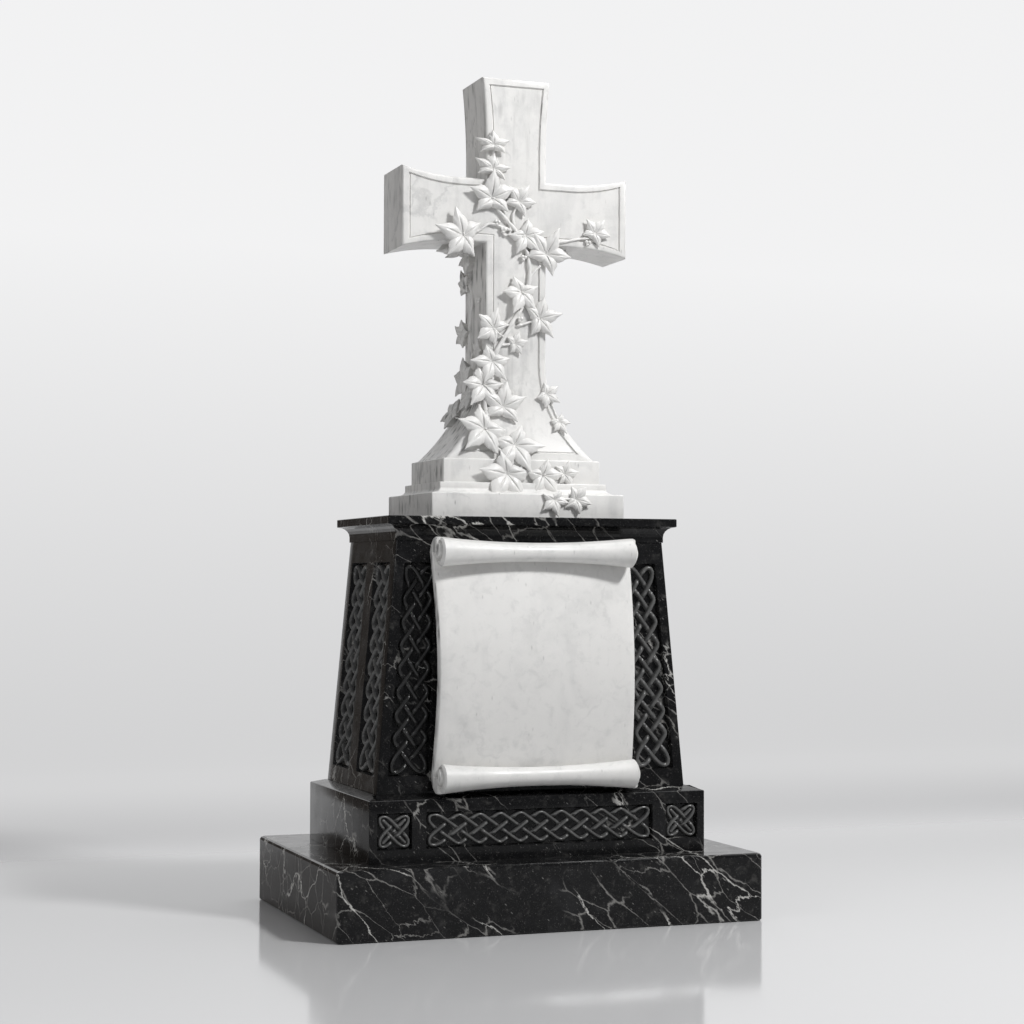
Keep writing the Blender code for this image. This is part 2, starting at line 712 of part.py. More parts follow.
def cross_foot():
    """Stepped foot: a lower step, a sloping moulding with a fillet, and an upper step."""
    soft = FOOT_ARRIS
    lower = FOOT_BASE + FOOT_LOWER
    fillet = lower + FOOT_MOULDING
    fillet_width = FOOT_UPPER_WIDTH + 2 * FOOT_FILLET_PROUD
    fillet_depth = FOOT_UPPER_DEPTH + 2 * FOOT_FILLET_PROUD
    rings = [
        (FOOT_WIDTH, FOOT_DEPTH, FOOT_BASE),
        (FOOT_WIDTH, FOOT_DEPTH, lower - soft),
        (FOOT_WIDTH - 2 * soft, FOOT_DEPTH - 2 * soft, lower),
    ]
    ledge_width = FOOT_WIDTH - 2 * FOOT_FILLET_PROUD
    ledge_depth = FOOT_DEPTH - 2 * FOOT_FILLET_PROUD
    for i in range(FOOT_HOLLOW_PARTS + 1):
        angle = math.radians(90 * i / FOOT_HOLLOW_PARTS)
        inward = math.sin(angle)
        z = lower + (FOOT_MOULDING - FOOT_FILLET) * (1 - math.cos(angle))
        width = ledge_width + (fillet_width - ledge_width) * inward
        depth = ledge_depth + (fillet_depth - ledge_depth) * inward
        rings.append((width, depth, z))
    rings += [
        (fillet_width, fillet_depth, fillet - soft / 2),
        (fillet_width - soft, fillet_depth - soft, fillet),
        (FOOT_UPPER_WIDTH, FOOT_UPPER_DEPTH, fillet),
        (FOOT_UPPER_WIDTH, FOOT_UPPER_DEPTH, FOOT_TOP - soft),
        (FOOT_UPPER_WIDTH - 2 * soft, FOOT_UPPER_DEPTH - 2 * soft, FOOT_TOP),
    ]
    return block("cross_foot", rings, soft, 1, None)


def ivy_frame(face, across, up):
    """Place on the white stone as a matrix: X runs across the face, Y up it and Z out of it."""
    if face == "front":
        half = STEM_WIDTH / 2
        out = cross_half_depth(up)
        lean = math.atan2(cross_half_depth(up + LEAN_STEP) - out, LEAN_STEP)
        place = Vector((across * half, -out, FOOT_TOP + up))
        basis = Matrix.Rotation(math.radians(90) - lean, 3, "X")
    elif face == "left":
        half = CROSS_DEPTH / 2
        out = cross_half_width(up)
        lean = math.atan2(cross_half_width(up + LEAN_STEP) - out, LEAN_STEP)
        place = Vector((-out, -across * half, FOOT_TOP + up))
        basis = Matrix.Rotation(math.radians(-90), 3, "Z") @ Matrix.Rotation(math.radians(90) - lean, 3, "X")
    else:
        width, depth = (FOOT_UPPER_WIDTH, FOOT_UPPER_DEPTH) if face == "foot" else (FOOT_WIDTH, FOOT_DEPTH)
        place = Vector((across * width / 2, -depth / 2, FOOT_TOP + up))
        basis = Matrix.Rotation(math.radians(90), 3, "X")
    return Matrix.Translation(place) @ basis.to_4x4()


def leaf_outline(span, shoulders):
    """Outline of an ivy leaf: places in its plane and height shares, its middle lobe along +X."""
    points = []
    for k, (angle, length) in enumerate(LOBES):
        reach = length * span
        broad = shoulders and abs(angle) < 90
        if broad:
            points.append((angle - SHOULDER_ANGLE, reach * SHOULDER_REACH, SHOULDER_HEIGHT))
        points.append((angle, reach, TIP_HEIGHT))
        if broad:
            points.append((angle + SHOULDER_ANGLE, reach * SHOULDER_REACH, SHOULDER_HEIGHT))
        following = LOBES[(k + 1) % len(LOBES)][0] % 360
        middle = (angle % 360 + following) / 2 if following > angle % 360 else (angle + following - 360) / 2
        if k == 2:
            points.append((180, STALK_NOTCH * span, STALK_HEIGHT))
        else:
            points.append((middle, LOBE_NOTCH * span, NOTCH_HEIGHT))
    places = []
    for angle, reach, height in points:
        turn = math.radians(angle)
        places.append((reach * math.cos(turn), reach * math.sin(turn), height))
    return places


def ivy_leaf(index, face, across, up, span, direction, squash):
    """Solid leaf that swells between its notched rim and a sunk middle."""
    frame = ivy_frame(face, across, up) @ Matrix.Rotation(math.radians(direction), 4, "Z")
    rise = LEAF_RISE * span
    sink = CROSS_ARRIS + LEAF_SINK + LAYER * index
    outline = leaf_outline(span, span > BROAD_LEAF)
    bm = bmesh.new()
    top = [bm.verts.new(frame @ Vector((x * squash, y, rise * h))) for x, y, h in outline]
    base = [bm.verts.new(frame @ Vector((x * squash, y, -sink))) for x, y, h in outline]
    middle = bm.verts.new(frame @ Vector((0, 0, rise * MIDDLE_HEIGHT)))
    count = len(outline)
    for i in range(count):
        j = (i + 1) % count
        bm.faces.new((top[i], top[j], middle))
        bm.faces.new((base[i], base[j], top[j], top[i]))
    bm.faces.new(base[::-1])
    return new_object(f"leaf_{index}", bm)


def smooth_path(points, parts):
    """Curve through points, each stretch a cubic in equal parts."""
    ends = [2 * points[0] - points[1], *points, 2 * points[-1] - points[-2]]
    path = []
    for i in range(1, len(ends) - 2):
        p0, p1, p2, p3 = ends[i - 1:i + 3]
        for k in range(parts):
            t = k / parts
            path.append(0.5 * (2 * p1 + (p2 - p0) * t + (2 * p0 - 5 * p1 + 4 * p2 - p3) * t**2
                               + (3 * p1 - p0 - 3 * p2 + p3) * t**3))
    return path + [points[-1]]


def ivy_vine(index, face, places):
    """Stem of ivy along the stone's face, with sloping sides that reach below the arris of the stone."""
    frames = [ivy_frame(face, across, up) for across, up in places]
    path = smooth_path([frame.translation for frame in frames], VINE_PARTS)
    sink = CROSS_ARRIS + VINE_SINK + LAYER * index
    foot, crest = VINE_WIDTH / 2, VINE_CREST / 2
    section = [(-foot, -sink), (foot, -sink), (crest, VINE_RISE), (-crest, VINE_RISE)]
    rings = []
    for i, point in enumerate(path):
        along = (path[min(i + 1, len(path) - 1)] - path[max(i - 1, 0)]).normalized()
        out = frames[min(i // VINE_PARTS, len(frames) - 1)].to_3x3() @ Vector((0, 0, 1))
        across = along.cross(out).normalized()
        out = across.cross(along)
        rings.append([point + x * across + h * out for x, h in section])
    bm = bmesh.new()
    skin(bm, rings)
    return new_object(f"vine_{index}", bm)


def ivy_bud(index, face, across, up):
    """Round bud on a stem of ivy."""
    bm = bmesh.new()
    place = ivy_frame(face, across, up) @ Matrix.Translation((0, 0, BUD_LIFT))
    bmesh.ops.create_icosphere(bm, subdivisions=1, radius=BUD_RADIUS, matrix=place)
    return new_object(f"bud_{index}", bm)


def ivy_cross(material):
    """Cross, stepped foot and ivy as one stone."""
    body = cross_body(material)
    combine(body, cross_foot(), "UNION")
    leaves = [ivy_leaf(i, *row) for i, row in enumerate(LEAVES)]
    vines = [ivy_vine(i, face, places) for i, (face, places) in enumerate(VINES)]
    buds = [ivy_bud(i, *row) for i, row in enumerate(BUDS)]
    # Leaves that lie across each other are many thin cuts, which the exact solver leaves open
    for carving in vines + leaves + buds:
        combine(body, carving, "UNION", "MANIFOLD")
    return body


def main():
    clear_scene()
    black = stone("black_marble", (0.012, 0.012, 0.013), 0.18)
    white = stone("white_marble", (0.80, 0.79, 0.76), 0.42)
    base_slab(black)
    plinth_step(black)
    die(black)
    cornice_cap(black)
    scroll_tablet(white)
    ivy_cross(white)


main()
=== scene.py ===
"""Looks of the cross headstone: a white marble cross with carved ivy on a black marble pedestal.

Lengths are metres, +Z is up and the front faces -Y, as in the frame.
"""
import math

import bmesh
import bpy
import numpy as np
from mathutils import Matrix, Vector


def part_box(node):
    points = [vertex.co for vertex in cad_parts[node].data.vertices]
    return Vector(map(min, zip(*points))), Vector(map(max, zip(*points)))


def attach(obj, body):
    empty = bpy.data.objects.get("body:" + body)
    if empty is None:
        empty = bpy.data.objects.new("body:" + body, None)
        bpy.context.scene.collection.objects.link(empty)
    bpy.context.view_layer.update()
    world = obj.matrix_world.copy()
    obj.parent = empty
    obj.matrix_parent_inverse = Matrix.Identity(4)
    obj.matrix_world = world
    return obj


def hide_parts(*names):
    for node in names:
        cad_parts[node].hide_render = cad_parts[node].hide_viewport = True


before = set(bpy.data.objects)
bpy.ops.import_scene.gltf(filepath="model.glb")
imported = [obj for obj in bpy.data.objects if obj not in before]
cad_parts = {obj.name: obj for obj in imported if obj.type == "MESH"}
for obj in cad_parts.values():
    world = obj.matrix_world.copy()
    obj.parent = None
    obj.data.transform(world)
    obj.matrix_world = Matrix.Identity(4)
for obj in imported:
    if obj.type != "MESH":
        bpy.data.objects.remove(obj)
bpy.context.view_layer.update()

BODY = "root"

# Heights and sizes that the pieces share with the frame
STEP_LOW, STEP_HIGH = (np.array(corner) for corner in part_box("plinth_step"))
DIE_LOW, DIE_HIGH = (np.array(corner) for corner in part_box("die"))
CROSS_LOW, CROSS_HIGH = (np.array(corner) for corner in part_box("ivy_cross"))
WASH_RISE = 0.009
WASH_MARGIN = 0.005
STEP_EDGE = STEP_HIGH[2] - WASH_RISE
STEP_ARRIS = 0.003
DIE_TOP_HALF = np.array([0.345, 0.19725])
DIE_FOOT_HALF = np.array([0.397, 0.215])
DIE_ARRIS = 0.004

# Sunk panels and their strands
PANEL_SINK = 0.013
PANEL_BEVEL = 0.004
DIE_STRAND = 0.0120
STEP_STRAND = 0.0096
STRAND_HIGH = 0.0105
STRAND_LOW = 0.0035
ARM_PLACES = (0.10, 0.45, 0.78)
DIE_PITCH = 0.0555
STEP_PITCH = 0.0530
STEP_PANEL_RIM = 0.030
STEP_PANEL_SIDE = 0.019
STEP_PLAIT_HALF = 0.290
DIE_PANEL_FOOT = 0.040
DIE_PANEL_HEAD = 0.052
DIE_PANEL_WIDTHS = (0.104, 0.082)
DIE_PANEL_SIDE = 0.024
SIDE_PANEL_NEAR = 0.031
SIDE_PANEL_FAR = 0.037
BACK_PANEL_SIDE = 0.060

# Scroll
ROLL_END = 0.0345
ROLL_MIDDLE = 0.0215
ROLL_HALF = 0.2440
SHEET_THICK = 0.0200
SHEET_HALF = 0.2560
SCROLL_SHIFT = -0.0080
SCROLL_GAP = 0.0006
LOW_ROLL_GAP = 0.003
HIGH_ROLL_RISE = 0.571
SHEET_BOW_BACK = 0.034
SHEET_BOW_FRONT = 0.040
SHEET_NARROW = 0.006
SPIRAL_TURNS = 1.55
SPIRAL_DEPTH = 0.0110
ROLL_DOME = 0.0145

# Cross
CROSS_HEIGHT = 0.953
FOOT_TOP = CROSS_HIGH[2] - CROSS_HEIGHT
FOOT_UPPER_HALF = np.array([0.2055, 0.128])
FOOT_LOWER_HALF = np.array([0.2505, 0.177])
FOOT_STEP_RISE = 0.059
FOOT_FILLET_RISE = 0.086
FOOT_FILLET_PROUD = 0.013
FOOT_LEDGE_INSET = 0.011
FOOT_ARRIS = 0.003
HOLLOW_RISE = 0.013
FILLET_ARRIS = 0.002
CROSS_HALF_DEPTH = 0.080
CROSS_BASE_HALF_DEPTH = 0.116
STEM_HALF = 0.080
BASE_HALF = 0.1955
FLARE_HEIGHT = 0.250
FLARE_POWER = 2.2
ARM_REACH = 0.298
ARM_CENTRE = 0.6195
ARM_HALF = 0.0795
ARM_END_HALF = 0.100
TOP_END_HALF = 0.090
ARM_STRAIGHT = 0.065
FLARE_STEPS = 25
ARM_STEPS = 9
GROOVE_INSET = 0.0195
GROOVE_HALF = 0.0026
GROOVE_DEPTH = 0.0032
SOFT = 0.0065
FIELD_SINK = 0.0022

# Ivy, with shares of a leaf's span
LEAF_RISE = 0.19
LEAF_TILT = 0.14
STALK_END = 0.045
STALK_RADIUS = 0.0026
STALK_SHORTEST = 0.006
STALK_LONGEST = 0.09

# Camera, fitted to the corners of the stones in the photograph
CAMERA_TURN = (20.406, 1.881, 0.179)
CAMERA_AWAY = 5.38
CAMERA_ASIDE = 0.019
CAMERA_HEIGHT = 0.818
FOCAL_PIXELS = 2139.0
PHOTO_PIXELS = 1024.0
SENSOR_WIDTH = 36.0

RANDOM = np.random.default_rng(11)

# Each leaf: face, place across in half widths, place up above the foot, span, direction of the middle
# lobe in degrees, squash along that direction, and how far the leaf curls over
LEAVES = [
    ("front", -0.82, 0.782, 0.078, 95, 0.66, 1.0),
    ("front", -0.84, 0.722, 0.084, 80, 0.66, 1.0),
    ("front", -0.85, 0.650, 0.100, 92, 1.0, 0.2),
    ("front", 0.05, 0.645, 0.074, 60, 1.0, 0.4),
    ("front", -1.78, 0.552, 0.108, 165, 1.0, 0.2),
    ("front", 0.27, 0.562, 0.080, 311, 1.0, 0.2),
    ("front", 0.96, 0.518, 0.100, 59, 1.0, 0.2),
    ("front", 2.62, 0.578, 0.064, 62, 1.0, 0.3),
    ("front", 0.16, 0.420, 0.084, 246, 1.0, 0.1),
    ("front", 0.74, 0.356, 0.086, 15, 1.0, 0.2),
    ("front", -0.78, 0.326, 0.078, 145, 1.0, 0.2),
    ("front", -0.06, 0.290, 0.050, 10, 1.0, 0.3),
    ("front", -0.82, 0.244, 0.088, 245, 1.0, 0.1),
    ("front", -1.10, 0.184, 0.094, 236, 1.0, 0.1),
    ("front", -0.50, 0.130, 0.096, 84, 1.0, 0.2),
    ("front", -1.14, 0.074, 0.112, 228, 1.0, 0.1),
    ("front", -0.20, 0.034, 0.112, 292, 1.0, 0.1),
    ("front", 0.98, 0.166, 0.056, 330, 1.0, 0.3),
    ("front", 1.38, 0.096, 0.046, 300, 1.0, 0.3),
    ("left", -0.62, 0.446, 0.056, 100, 1.0, 0.3, 0.010),
    ("left", -0.20, 0.512, 0.060, 200, 1.0, 0.3, 0.014),
    ("left", -0.66, 0.322, 0.062, 150, 1.0, 0.2, 0.012),
    ("left", -0.30, 0.205, 0.086, 170, 1.0, 0.2, 0.012),
    ("left", 0.20, 0.160, 0.070, 240, 1.0, 0.2, 0.006),
    ("left", -0.62, 0.120, 0.074, 210, 1.0, 0.2, 0.010),
    ("left", 0.45, 0.272, 0.050, 60, 1.0, 0.2, 0.004),
    ("foot", -0.21, -0.036, 0.116, 232, 1.0, 0.1),
    ("foot", 0.25, -0.038, 0.084, 300, 1.0, 0.2),
    ("foot", 0.53, -0.034, 0.056, 10, 1.0, 0.2),
    ("toe", 0.25, -0.100, 0.058, 280, 1.0, 0.2),
    ("toe", 0.48, -0.098, 0.062, 340, 1.0, 0.2),
    ("under", -1.72, -0.010, 0.066, 190, 1.0, 0.2, 0.004),
    ("under", -1.36, 0.028, 0.070, 240, 1.0, 0.2, 0.006),
    ("under", 1.46, -0.030, 0.074, 300, 1.0, 0.2, 0.008),
]

# Lobes of an ivy leaf: direction and length of the tip, direction and depth of the notch after it
IVY_LOBES = [(0, 0.74, 33, 0.37), (64, 0.68, 97, 0.34), (130, 0.56, 180, 0.22), (230, 0.56, 263, 0.34),
             (296, 0.68, 327, 0.37)]

# Each stem: face, thickness, then places across in half widths and up above the foot
VINES = [
    ("front", 0.0056, [(-0.30, 0.002), (-1.10, 0.046), (-1.00, 0.088), (-1.06, 0.152), (-0.78, 0.208),
                       (-0.72, 0.258), (-0.36, 0.311), (-0.10, 0.349), (0.20, 0.385), (0.42, 0.451),
                       (0.40, 0.496), (0.30, 0.528), (-0.06, 0.574), (-0.44, 0.607), (-0.70, 0.640),
                       (-0.78, 0.748), (-0.74, 0.790)]),
    ("front", 0.0036, [(-0.08, 0.578), (-0.12, 0.612), (0.05, 0.640)]),
    ("front", 0.0038, [(-0.14, 0.572), (-0.42, 0.578), (-0.90, 0.586), (-1.30, 0.566), (-1.80, 0.562)]),
    ("front", 0.0036, [(0.43, 0.456), (0.60, 0.474), (0.85, 0.492)]),
    ("front", 0.0036, [(0.95, 0.545), (1.60, 0.553), (2.10, 0.562), (2.50, 0.566)]),
    ("front", 0.0036, [(0.00, 0.335), (0.30, 0.342), (0.62, 0.352)]),
    ("front", 0.0034, [(-0.60, 0.285), (-0.30, 0.288), (-0.08, 0.292)]),
    ("front", 0.0030, [(0.98, 0.176), (1.12, 0.150), (1.26, 0.120), (1.36, 0.100)]),
    ("front", 0.0030, [(-0.42, 0.596), (-0.24, 0.588), (-0.22, 0.566), (-0.40, 0.560), (-0.46, 0.572)]),
    ("left", 0.0058, [(-0.30, 0.520), (-0.35, 0.500), (-0.45, 0.440), (-0.30, 0.380), (-0.42, 0.310),
                      (-0.20, 0.260), (-0.10, 0.200), (0.05, 0.150), (-0.20, 0.100)]),
    ("left", 0.0040, [(-0.40, 0.450), (-0.20, 0.400), (-0.45, 0.350), (-0.28, 0.280), (0.10, 0.200)]),
    ("foot", 0.0040, [(0.02, -0.010), (0.10, -0.030), (0.18, -0.050), (0.22, -0.060)]),
    ("foot", 0.0032, [(0.28, -0.034), (0.38, -0.030), (0.52, -0.032)]),
    ("toe", 0.0036, [(0.14, -0.086), (0.22, -0.094), (0.36, -0.098), (0.50, -0.098)]),
    ("left", 0.0032, [(-0.42, 0.310), (-0.56, 0.316), (-0.62, 0.320)]),
]

# Buds: face, place across in half widths, place up above the foot
BUDS = [
    ("front", -0.66, 0.590), ("front", 2.38, 0.553), ("front", 0.22, 0.506), ("front", 0.10, 0.352),
    ("front", -0.46, 0.572), ("left", 0.47, 0.402),
]


# Meshes

def new_object(name, data):
    """Object of some data, linked into the scene."""
    thing = bpy.data.objects.new(name, data)
    bpy.context.scene.collection.objects.link(thing)
    return thing


class Shape:
    """Grids of points gathered into one mesh."""

    def __init__(self):
        self.points = []
        self.faces = []
        self.total = 0

    def grid(self, points, around=False, ends=False):
        """Faces between neighbours of an array of points, rows by columns.

        Around joins the last column to the first, and ends closes the first and last row, each with
        one flat face.
        """
        points = np.asarray(points, float)
        rows, columns = points.shape[:2]
        index = self.total + np.arange(rows * columns).reshape(rows, columns)
        wide = np.concatenate([index, index[:, :1]], axis=1) if around else index
        quads = np.stack([wide[:-1, :-1], wide[:-1, 1:], wide[1:, 1:], wide[1:, :-1]], axis=-1)
        self.faces += quads.reshape(-1, 4).tolist()
        if ends:
            self.faces += [index[0, ::-1].tolist(), index[-1].tolist()]
        self.points.append(points.reshape(-1, 3))
        self.total += rows * columns
        return index

    def piece(self, name, material, nodes=(), crease=35):
        """Object of the gathered faces, turned outwards, smooth but for edges sharper than the crease,
        with how far each corner looks sideways as an attribute."""
        mesh = bpy.data.meshes.new(name)
        mesh.from_pydata(np.concatenate(self.points).tolist(), [], self.faces)
        bm = bmesh.new()
        bm.from_mesh(mesh)
        bmesh.ops.remove_doubles(bm, verts=bm.verts, dist=1e-6)
        bmesh.ops.dissolve_degenerate(bm, dist=1e-7, edges=bm.edges)
        bmesh.ops.recalc_face_normals(bm, faces=bm.faces)
        bm.to_mesh(mesh)
        bm.free()
        normals = np.empty(3 * len(mesh.vertices))
        mesh.vertices.foreach_get("normal", normals)
        mesh.attributes.new("side", "FLOAT", "POINT").data.foreach_set("value", np.abs(normals[::3]))
        mesh.shade_smooth()
        mesh.set_sharp_from_angle(angle=math.radians(crease))
        mesh.materials.append(material)
        thing = new_object(name, mesh)
        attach(thing, BODY)
        for node in nodes:
            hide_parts(node)


def unit(vectors):
    """Vectors of an array scaled to length one."""
    vectors = np.asarray(vectors, float)
    return vectors / np.maximum(np.linalg.norm(vectors, axis=-1, keepdims=True), 1e-12)


def resample(path, count):
    """Points at equal steps of length along a polyline, with their places along it."""
    path = np.asarray(path, float)
    run = np.concatenate([[0], np.cumsum(np.linalg.norm(np.diff(path, axis=0), axis=1))])
    stops = np.linspace(0, run[-1], count)
    return np.stack([np.interp(stops, run, path[:, k]) for k in range(3)], axis=1), stops


def soften(path, times):
    """Path whose bends are rounded by averaging each point with its neighbours, its ends kept."""
    path = path.copy()
    for _ in range(times):
        path[1:-1] = (path[:-2] + 2 * path[1:-1] + path[2:]) / 4
    return path


def catmull(points, parts):
    """Smooth curve through points: each stretch is the cubic of its four neighbouring points."""
    p = np.asarray(points, float)
    p = np.concatenate([[2 * p[0] - p[1]], p, [2 * p[-1] - p[-2]]])
    t = np.linspace(0, 1, parts, endpoint=False)[None, :, None]
    a, b, c, d = (p[k:len(p) - 3 + k, None, :] for k in range(4))
    square, cube = 2 * a - 5 * b + 4 * c - d, 3 * b - a - 3 * c + d
    curve = 0.5 * (2 * b + (c - a) * t + square * t**2 + cube * t**3)
    return np.concatenate([curve.reshape(-1, p.shape[1]), p[-2:-1]])


def ease(values, low, high):
    """Smooth step from 0 at low to 1 at high."""
    t = np.clip((values - low) / (high - low), 0, 1)
    return t * t * (3 - 2 * t)


# Materials

class Nodes:
    """Short way to add and join shader nodes in one tree."""

    def __init__(self, tree):
        self.tree = tree

    def add(self, kind, sockets=None, **settings):
        """New node with its settings, and with values or links for its sockets."""
        node = self.tree.nodes.new(kind)
        for key, value in settings.items():
            setattr(node, key, value)
        for key, value in (sockets or {}).items():
            if isinstance(value, bpy.types.NodeSocket):
                self.tree.links.new(value, node.inputs[key])
            else:
                node.inputs[key].default_value = value
        return node

    def noise(self, vector, scale, detail=2.0, roughness=0.5, distortion=0.0):
        """Layered noise."""
        sockets = {"Vector": vector, "Scale": scale, "Detail": detail, "Roughness": roughness,
                   "Distortion": distortion}
        return self.add("ShaderNodeTexNoise", sockets).outputs["Fac"]

    def math(self, operation, a, b):
        """One operation on two values."""
        return self.add("ShaderNodeMath", {0: a, 1: b}, operation=operation).outputs[0]

    def span(self, value, low, high, to_low=0.0, to_high=1.0, smooth=True):
        """Value carried from one span to another."""
        kind = "SMOOTHSTEP" if smooth else "LINEAR"
        names = ("Value", "From Min", "From Max", "To Min", "To Max")
        sockets = dict(zip(names, (value, low, high, to_low, to_high)))
        return self.add("ShaderNodeMapRange", sockets, interpolation_type=kind).outputs[0]

    def mix(self, share, a, b):
        """Colour a with a share of colour b."""
        a, b = (c if isinstance(c, bpy.types.NodeSocket) else (*c, 1.0) for c in (a, b))
        return self.add("ShaderNodeMix", {0: share, 6: a, 7: b}, data_type="RGBA").outputs[2]

    def mask(self, tree, vector, **sockets):
        """Mask of one use of a node group."""
        sockets = {"Vector": vector, **sockets}
        return self.add("ShaderNodeGroup", sockets, node_tree=tree).outputs["Mask"]

    def stain(self, colour, mask, share, tone):
        """Colour with a tone laid over it by a share of a mask."""
        return self.mix(self.math("MULTIPLY", mask, share), colour, tone)

    def finish(self, shader, colour, rough, height, strength, distance):
        """Colour, roughness and a small relief joined to the shader."""
        sockets = {"Height": height, "Strength": strength, "Distance": distance}
        relief = self.add("ShaderNodeBump", sockets).outputs[0]
        for value, name in ((colour, "Base Color"), (rough, "Roughness"), (relief, "Normal")):
            self.tree.links.new(value, shader.inputs[name])


def group(name, **inputs):
    """New node group that makes a mask from a vector and from inputs given with their values."""
    tree = bpy.data.node_groups.new(name, "ShaderNodeTree")
    tree.interface.new_socket(name="Vector", in_out="INPUT", socket_type="NodeSocketVector")
    for label, value in inputs.items():
        kind = "NodeSocketVector" if isinstance(value, tuple) else "NodeSocketFloat"
        tree.interface.new_socket(name=label, in_out="INPUT", socket_type=kind).default_value = value
    tree.interface.new_socket(name="Mask", in_out="OUTPUT", socket_type="NodeSocketFloat")
    nodes = Nodes(tree)
    source = nodes.add("NodeGroupInput").outputs
    sink = nodes.add("NodeGroupOutput").inputs["Mask"]
    return nodes, source, sink


def vein_group():
    """Thin branching veins: edges of warped cells, broken up by a broad and a finer noise."""
    n, source, sink = group("marble veins", Scale=6.0, Width=0.02, Warp=0.1, Amount=0.5)
    sockets = {"Vector": source["Vector"], "Scale": 9.0, "Detail": 6.0, "Roughness": 0.62}
    warp = n.add("ShaderNodeTexNoise", sockets).outputs["Color"]
    off = n.add("ShaderNodeVectorMath", {0: warp, 1: (0.5, 0.5, 0.5)}, operation="SUBTRACT")
    sockets = {0: off.outputs[0], "Scale": source["Warp"]}
    push = n.add("ShaderNodeVectorMath", sockets, operation="SCALE")
    sockets = {0: source["Vector"], 1: push.outputs[0]}
    place = n.add("ShaderNodeVectorMath", sockets, operation="ADD").outputs[0]
    sockets = {"Vector": place, "Scale": source["Scale"]}
    cells = n.add("ShaderNodeTexVoronoi", sockets, feature="DISTANCE_TO_EDGE").outputs["Distance"]
    swell = n.span(n.noise(place, 16.0, 3.0), 0.34, 0.66, 0.25, 1.5, smooth=False)
    line = n.span(cells, 0.0, n.math("MULTIPLY", source["Width"], swell), 1.0, 0.0)
    broad = n.noise(place, 4.3, 3.0, 0.6)
    edge = n.math("SUBTRACT", 1.0, source["Amount"])
    keep = n.span(broad, edge, n.math("ADD", edge, 0.10))
    n.tree.links.new(n.math("MULTIPLY", line, keep), sink)
    return n.tree


def speck_group():
    """Small grains: the middles of a share of the cells, picked by their random colour."""
    n, source, sink = group("stone specks", Scale=300.0, Size=0.25, Share=0.3)
    cells = n.add("ShaderNodeTexVoronoi", {"Vector": source["Vector"], "Scale": source["Scale"]})
    dot = n.span(cells.outputs["Distance"], 0.0, source["Size"], 1.0, 0.0)
    pick = n.add("ShaderNodeSeparateColor", {0: cells.outputs["Color"]}).outputs[0]
    chosen = n.math("LESS_THAN", pick, source["Share"])
    n.tree.links.new(n.math("MULTIPLY", dot, chosen), sink)
    return n.tree


def cloud_group():
    """Soft clouds: a fine layered noise stretched by a vector, cut to a soft band."""
    n, source, sink = group("marble clouds", Stretch=(1.0, 1.0, 1.0), Scale=5.0, Low=0.45, High=0.7)
    sockets = {0: source["Vector"], 1: source["Stretch"]}
    place = n.add("ShaderNodeVectorMath", sockets, operation="MULTIPLY").outputs[0]
    field = n.noise(place, source["Scale"], 6.0, 0.6, 0.4)
    n.tree.links.new(n.span(field, source["Low"], source["High"]), sink)
    return n.tree


VEINS, SPECKS, CLOUDS = vein_group(), speck_group(), cloud_group()


def new_material(name):
    """Material with its node helper, its shader and its Object coordinates."""
    material = bpy.data.materials.new(name)
    material.use_nodes = True
    nodes = Nodes(material.node_tree)
    shader = material.node_tree.nodes["Principled BSDF"]
    place = nodes.add("ShaderNodeTexCoord").outputs["Object"]
    return material, nodes, shader, place


def black_marble(name, vein_share):
    """Polished black marble: grey clouds, fossil grains, and white veins at two sizes."""
    material, n, shader, place = new_material(name)
    cloud = n.mask(CLOUDS, place, Scale=9.0, Low=0.50, High=0.78)
    fine = n.mask(CLOUDS, place, Scale=46.0, Low=0.52, High=0.80)
    grain = n.mask(SPECKS, place, Scale=210.0, Size=0.36, Share=0.20)
    dust = n.mask(SPECKS, place, Scale=480.0, Size=0.45, Share=0.25)
    turned = {"Vector": place, "Rotation": (0.0, 0.72, 0.25), "Scale": (2.6, 1.0, 0.8)}
    slant = n.add("ShaderNodeMapping", turned, vector_type="TEXTURE").outputs[0]
    amount = vein_share * 0.93
    large = n.mask(VEINS, slant, Scale=4.6, Width=0.0110, Warp=0.09, Amount=amount)
    amount = vein_share * 0.98
    small = n.mask(VEINS, slant, Scale=15.0, Width=0.030, Warp=0.06, Amount=amount)
    chips = n.mask(SPECKS, slant, Scale=95.0, Size=0.20, Share=0.30)
    colour = n.mix(cloud, (0.0068, 0.0068, 0.0072), (0.021, 0.021, 0.022))
    colour = n.stain(colour, fine, 0.75, (0.062, 0.060, 0.057))
    colour = n.stain(colour, grain, 0.45, (0.20, 0.195, 0.185))
    colour = n.stain(colour, dust, 0.40, (0.15, 0.15, 0.145))
    colour = n.stain(colour, chips, 0.60, (0.33, 0.325, 0.31))
    colour = n.stain(colour, small, 0.50, (0.42, 0.41, 0.39))
    colour = n.stain(colour, large, 0.80, (0.66, 0.65, 0.62))
    smear = n.noise(place, 14.0, 4.0, 0.6)
    rough = n.span(smear, 0.35, 0.70, 0.10, 0.21)
    rough = n.math("ADD", rough, n.math("MULTIPLY", large, 0.10))
    n.finish(shader, colour, rough, n.noise(place, 60.0, 3.0), 0.035, 0.002)
    shader.inputs["IOR"].default_value = 1.34
    return material


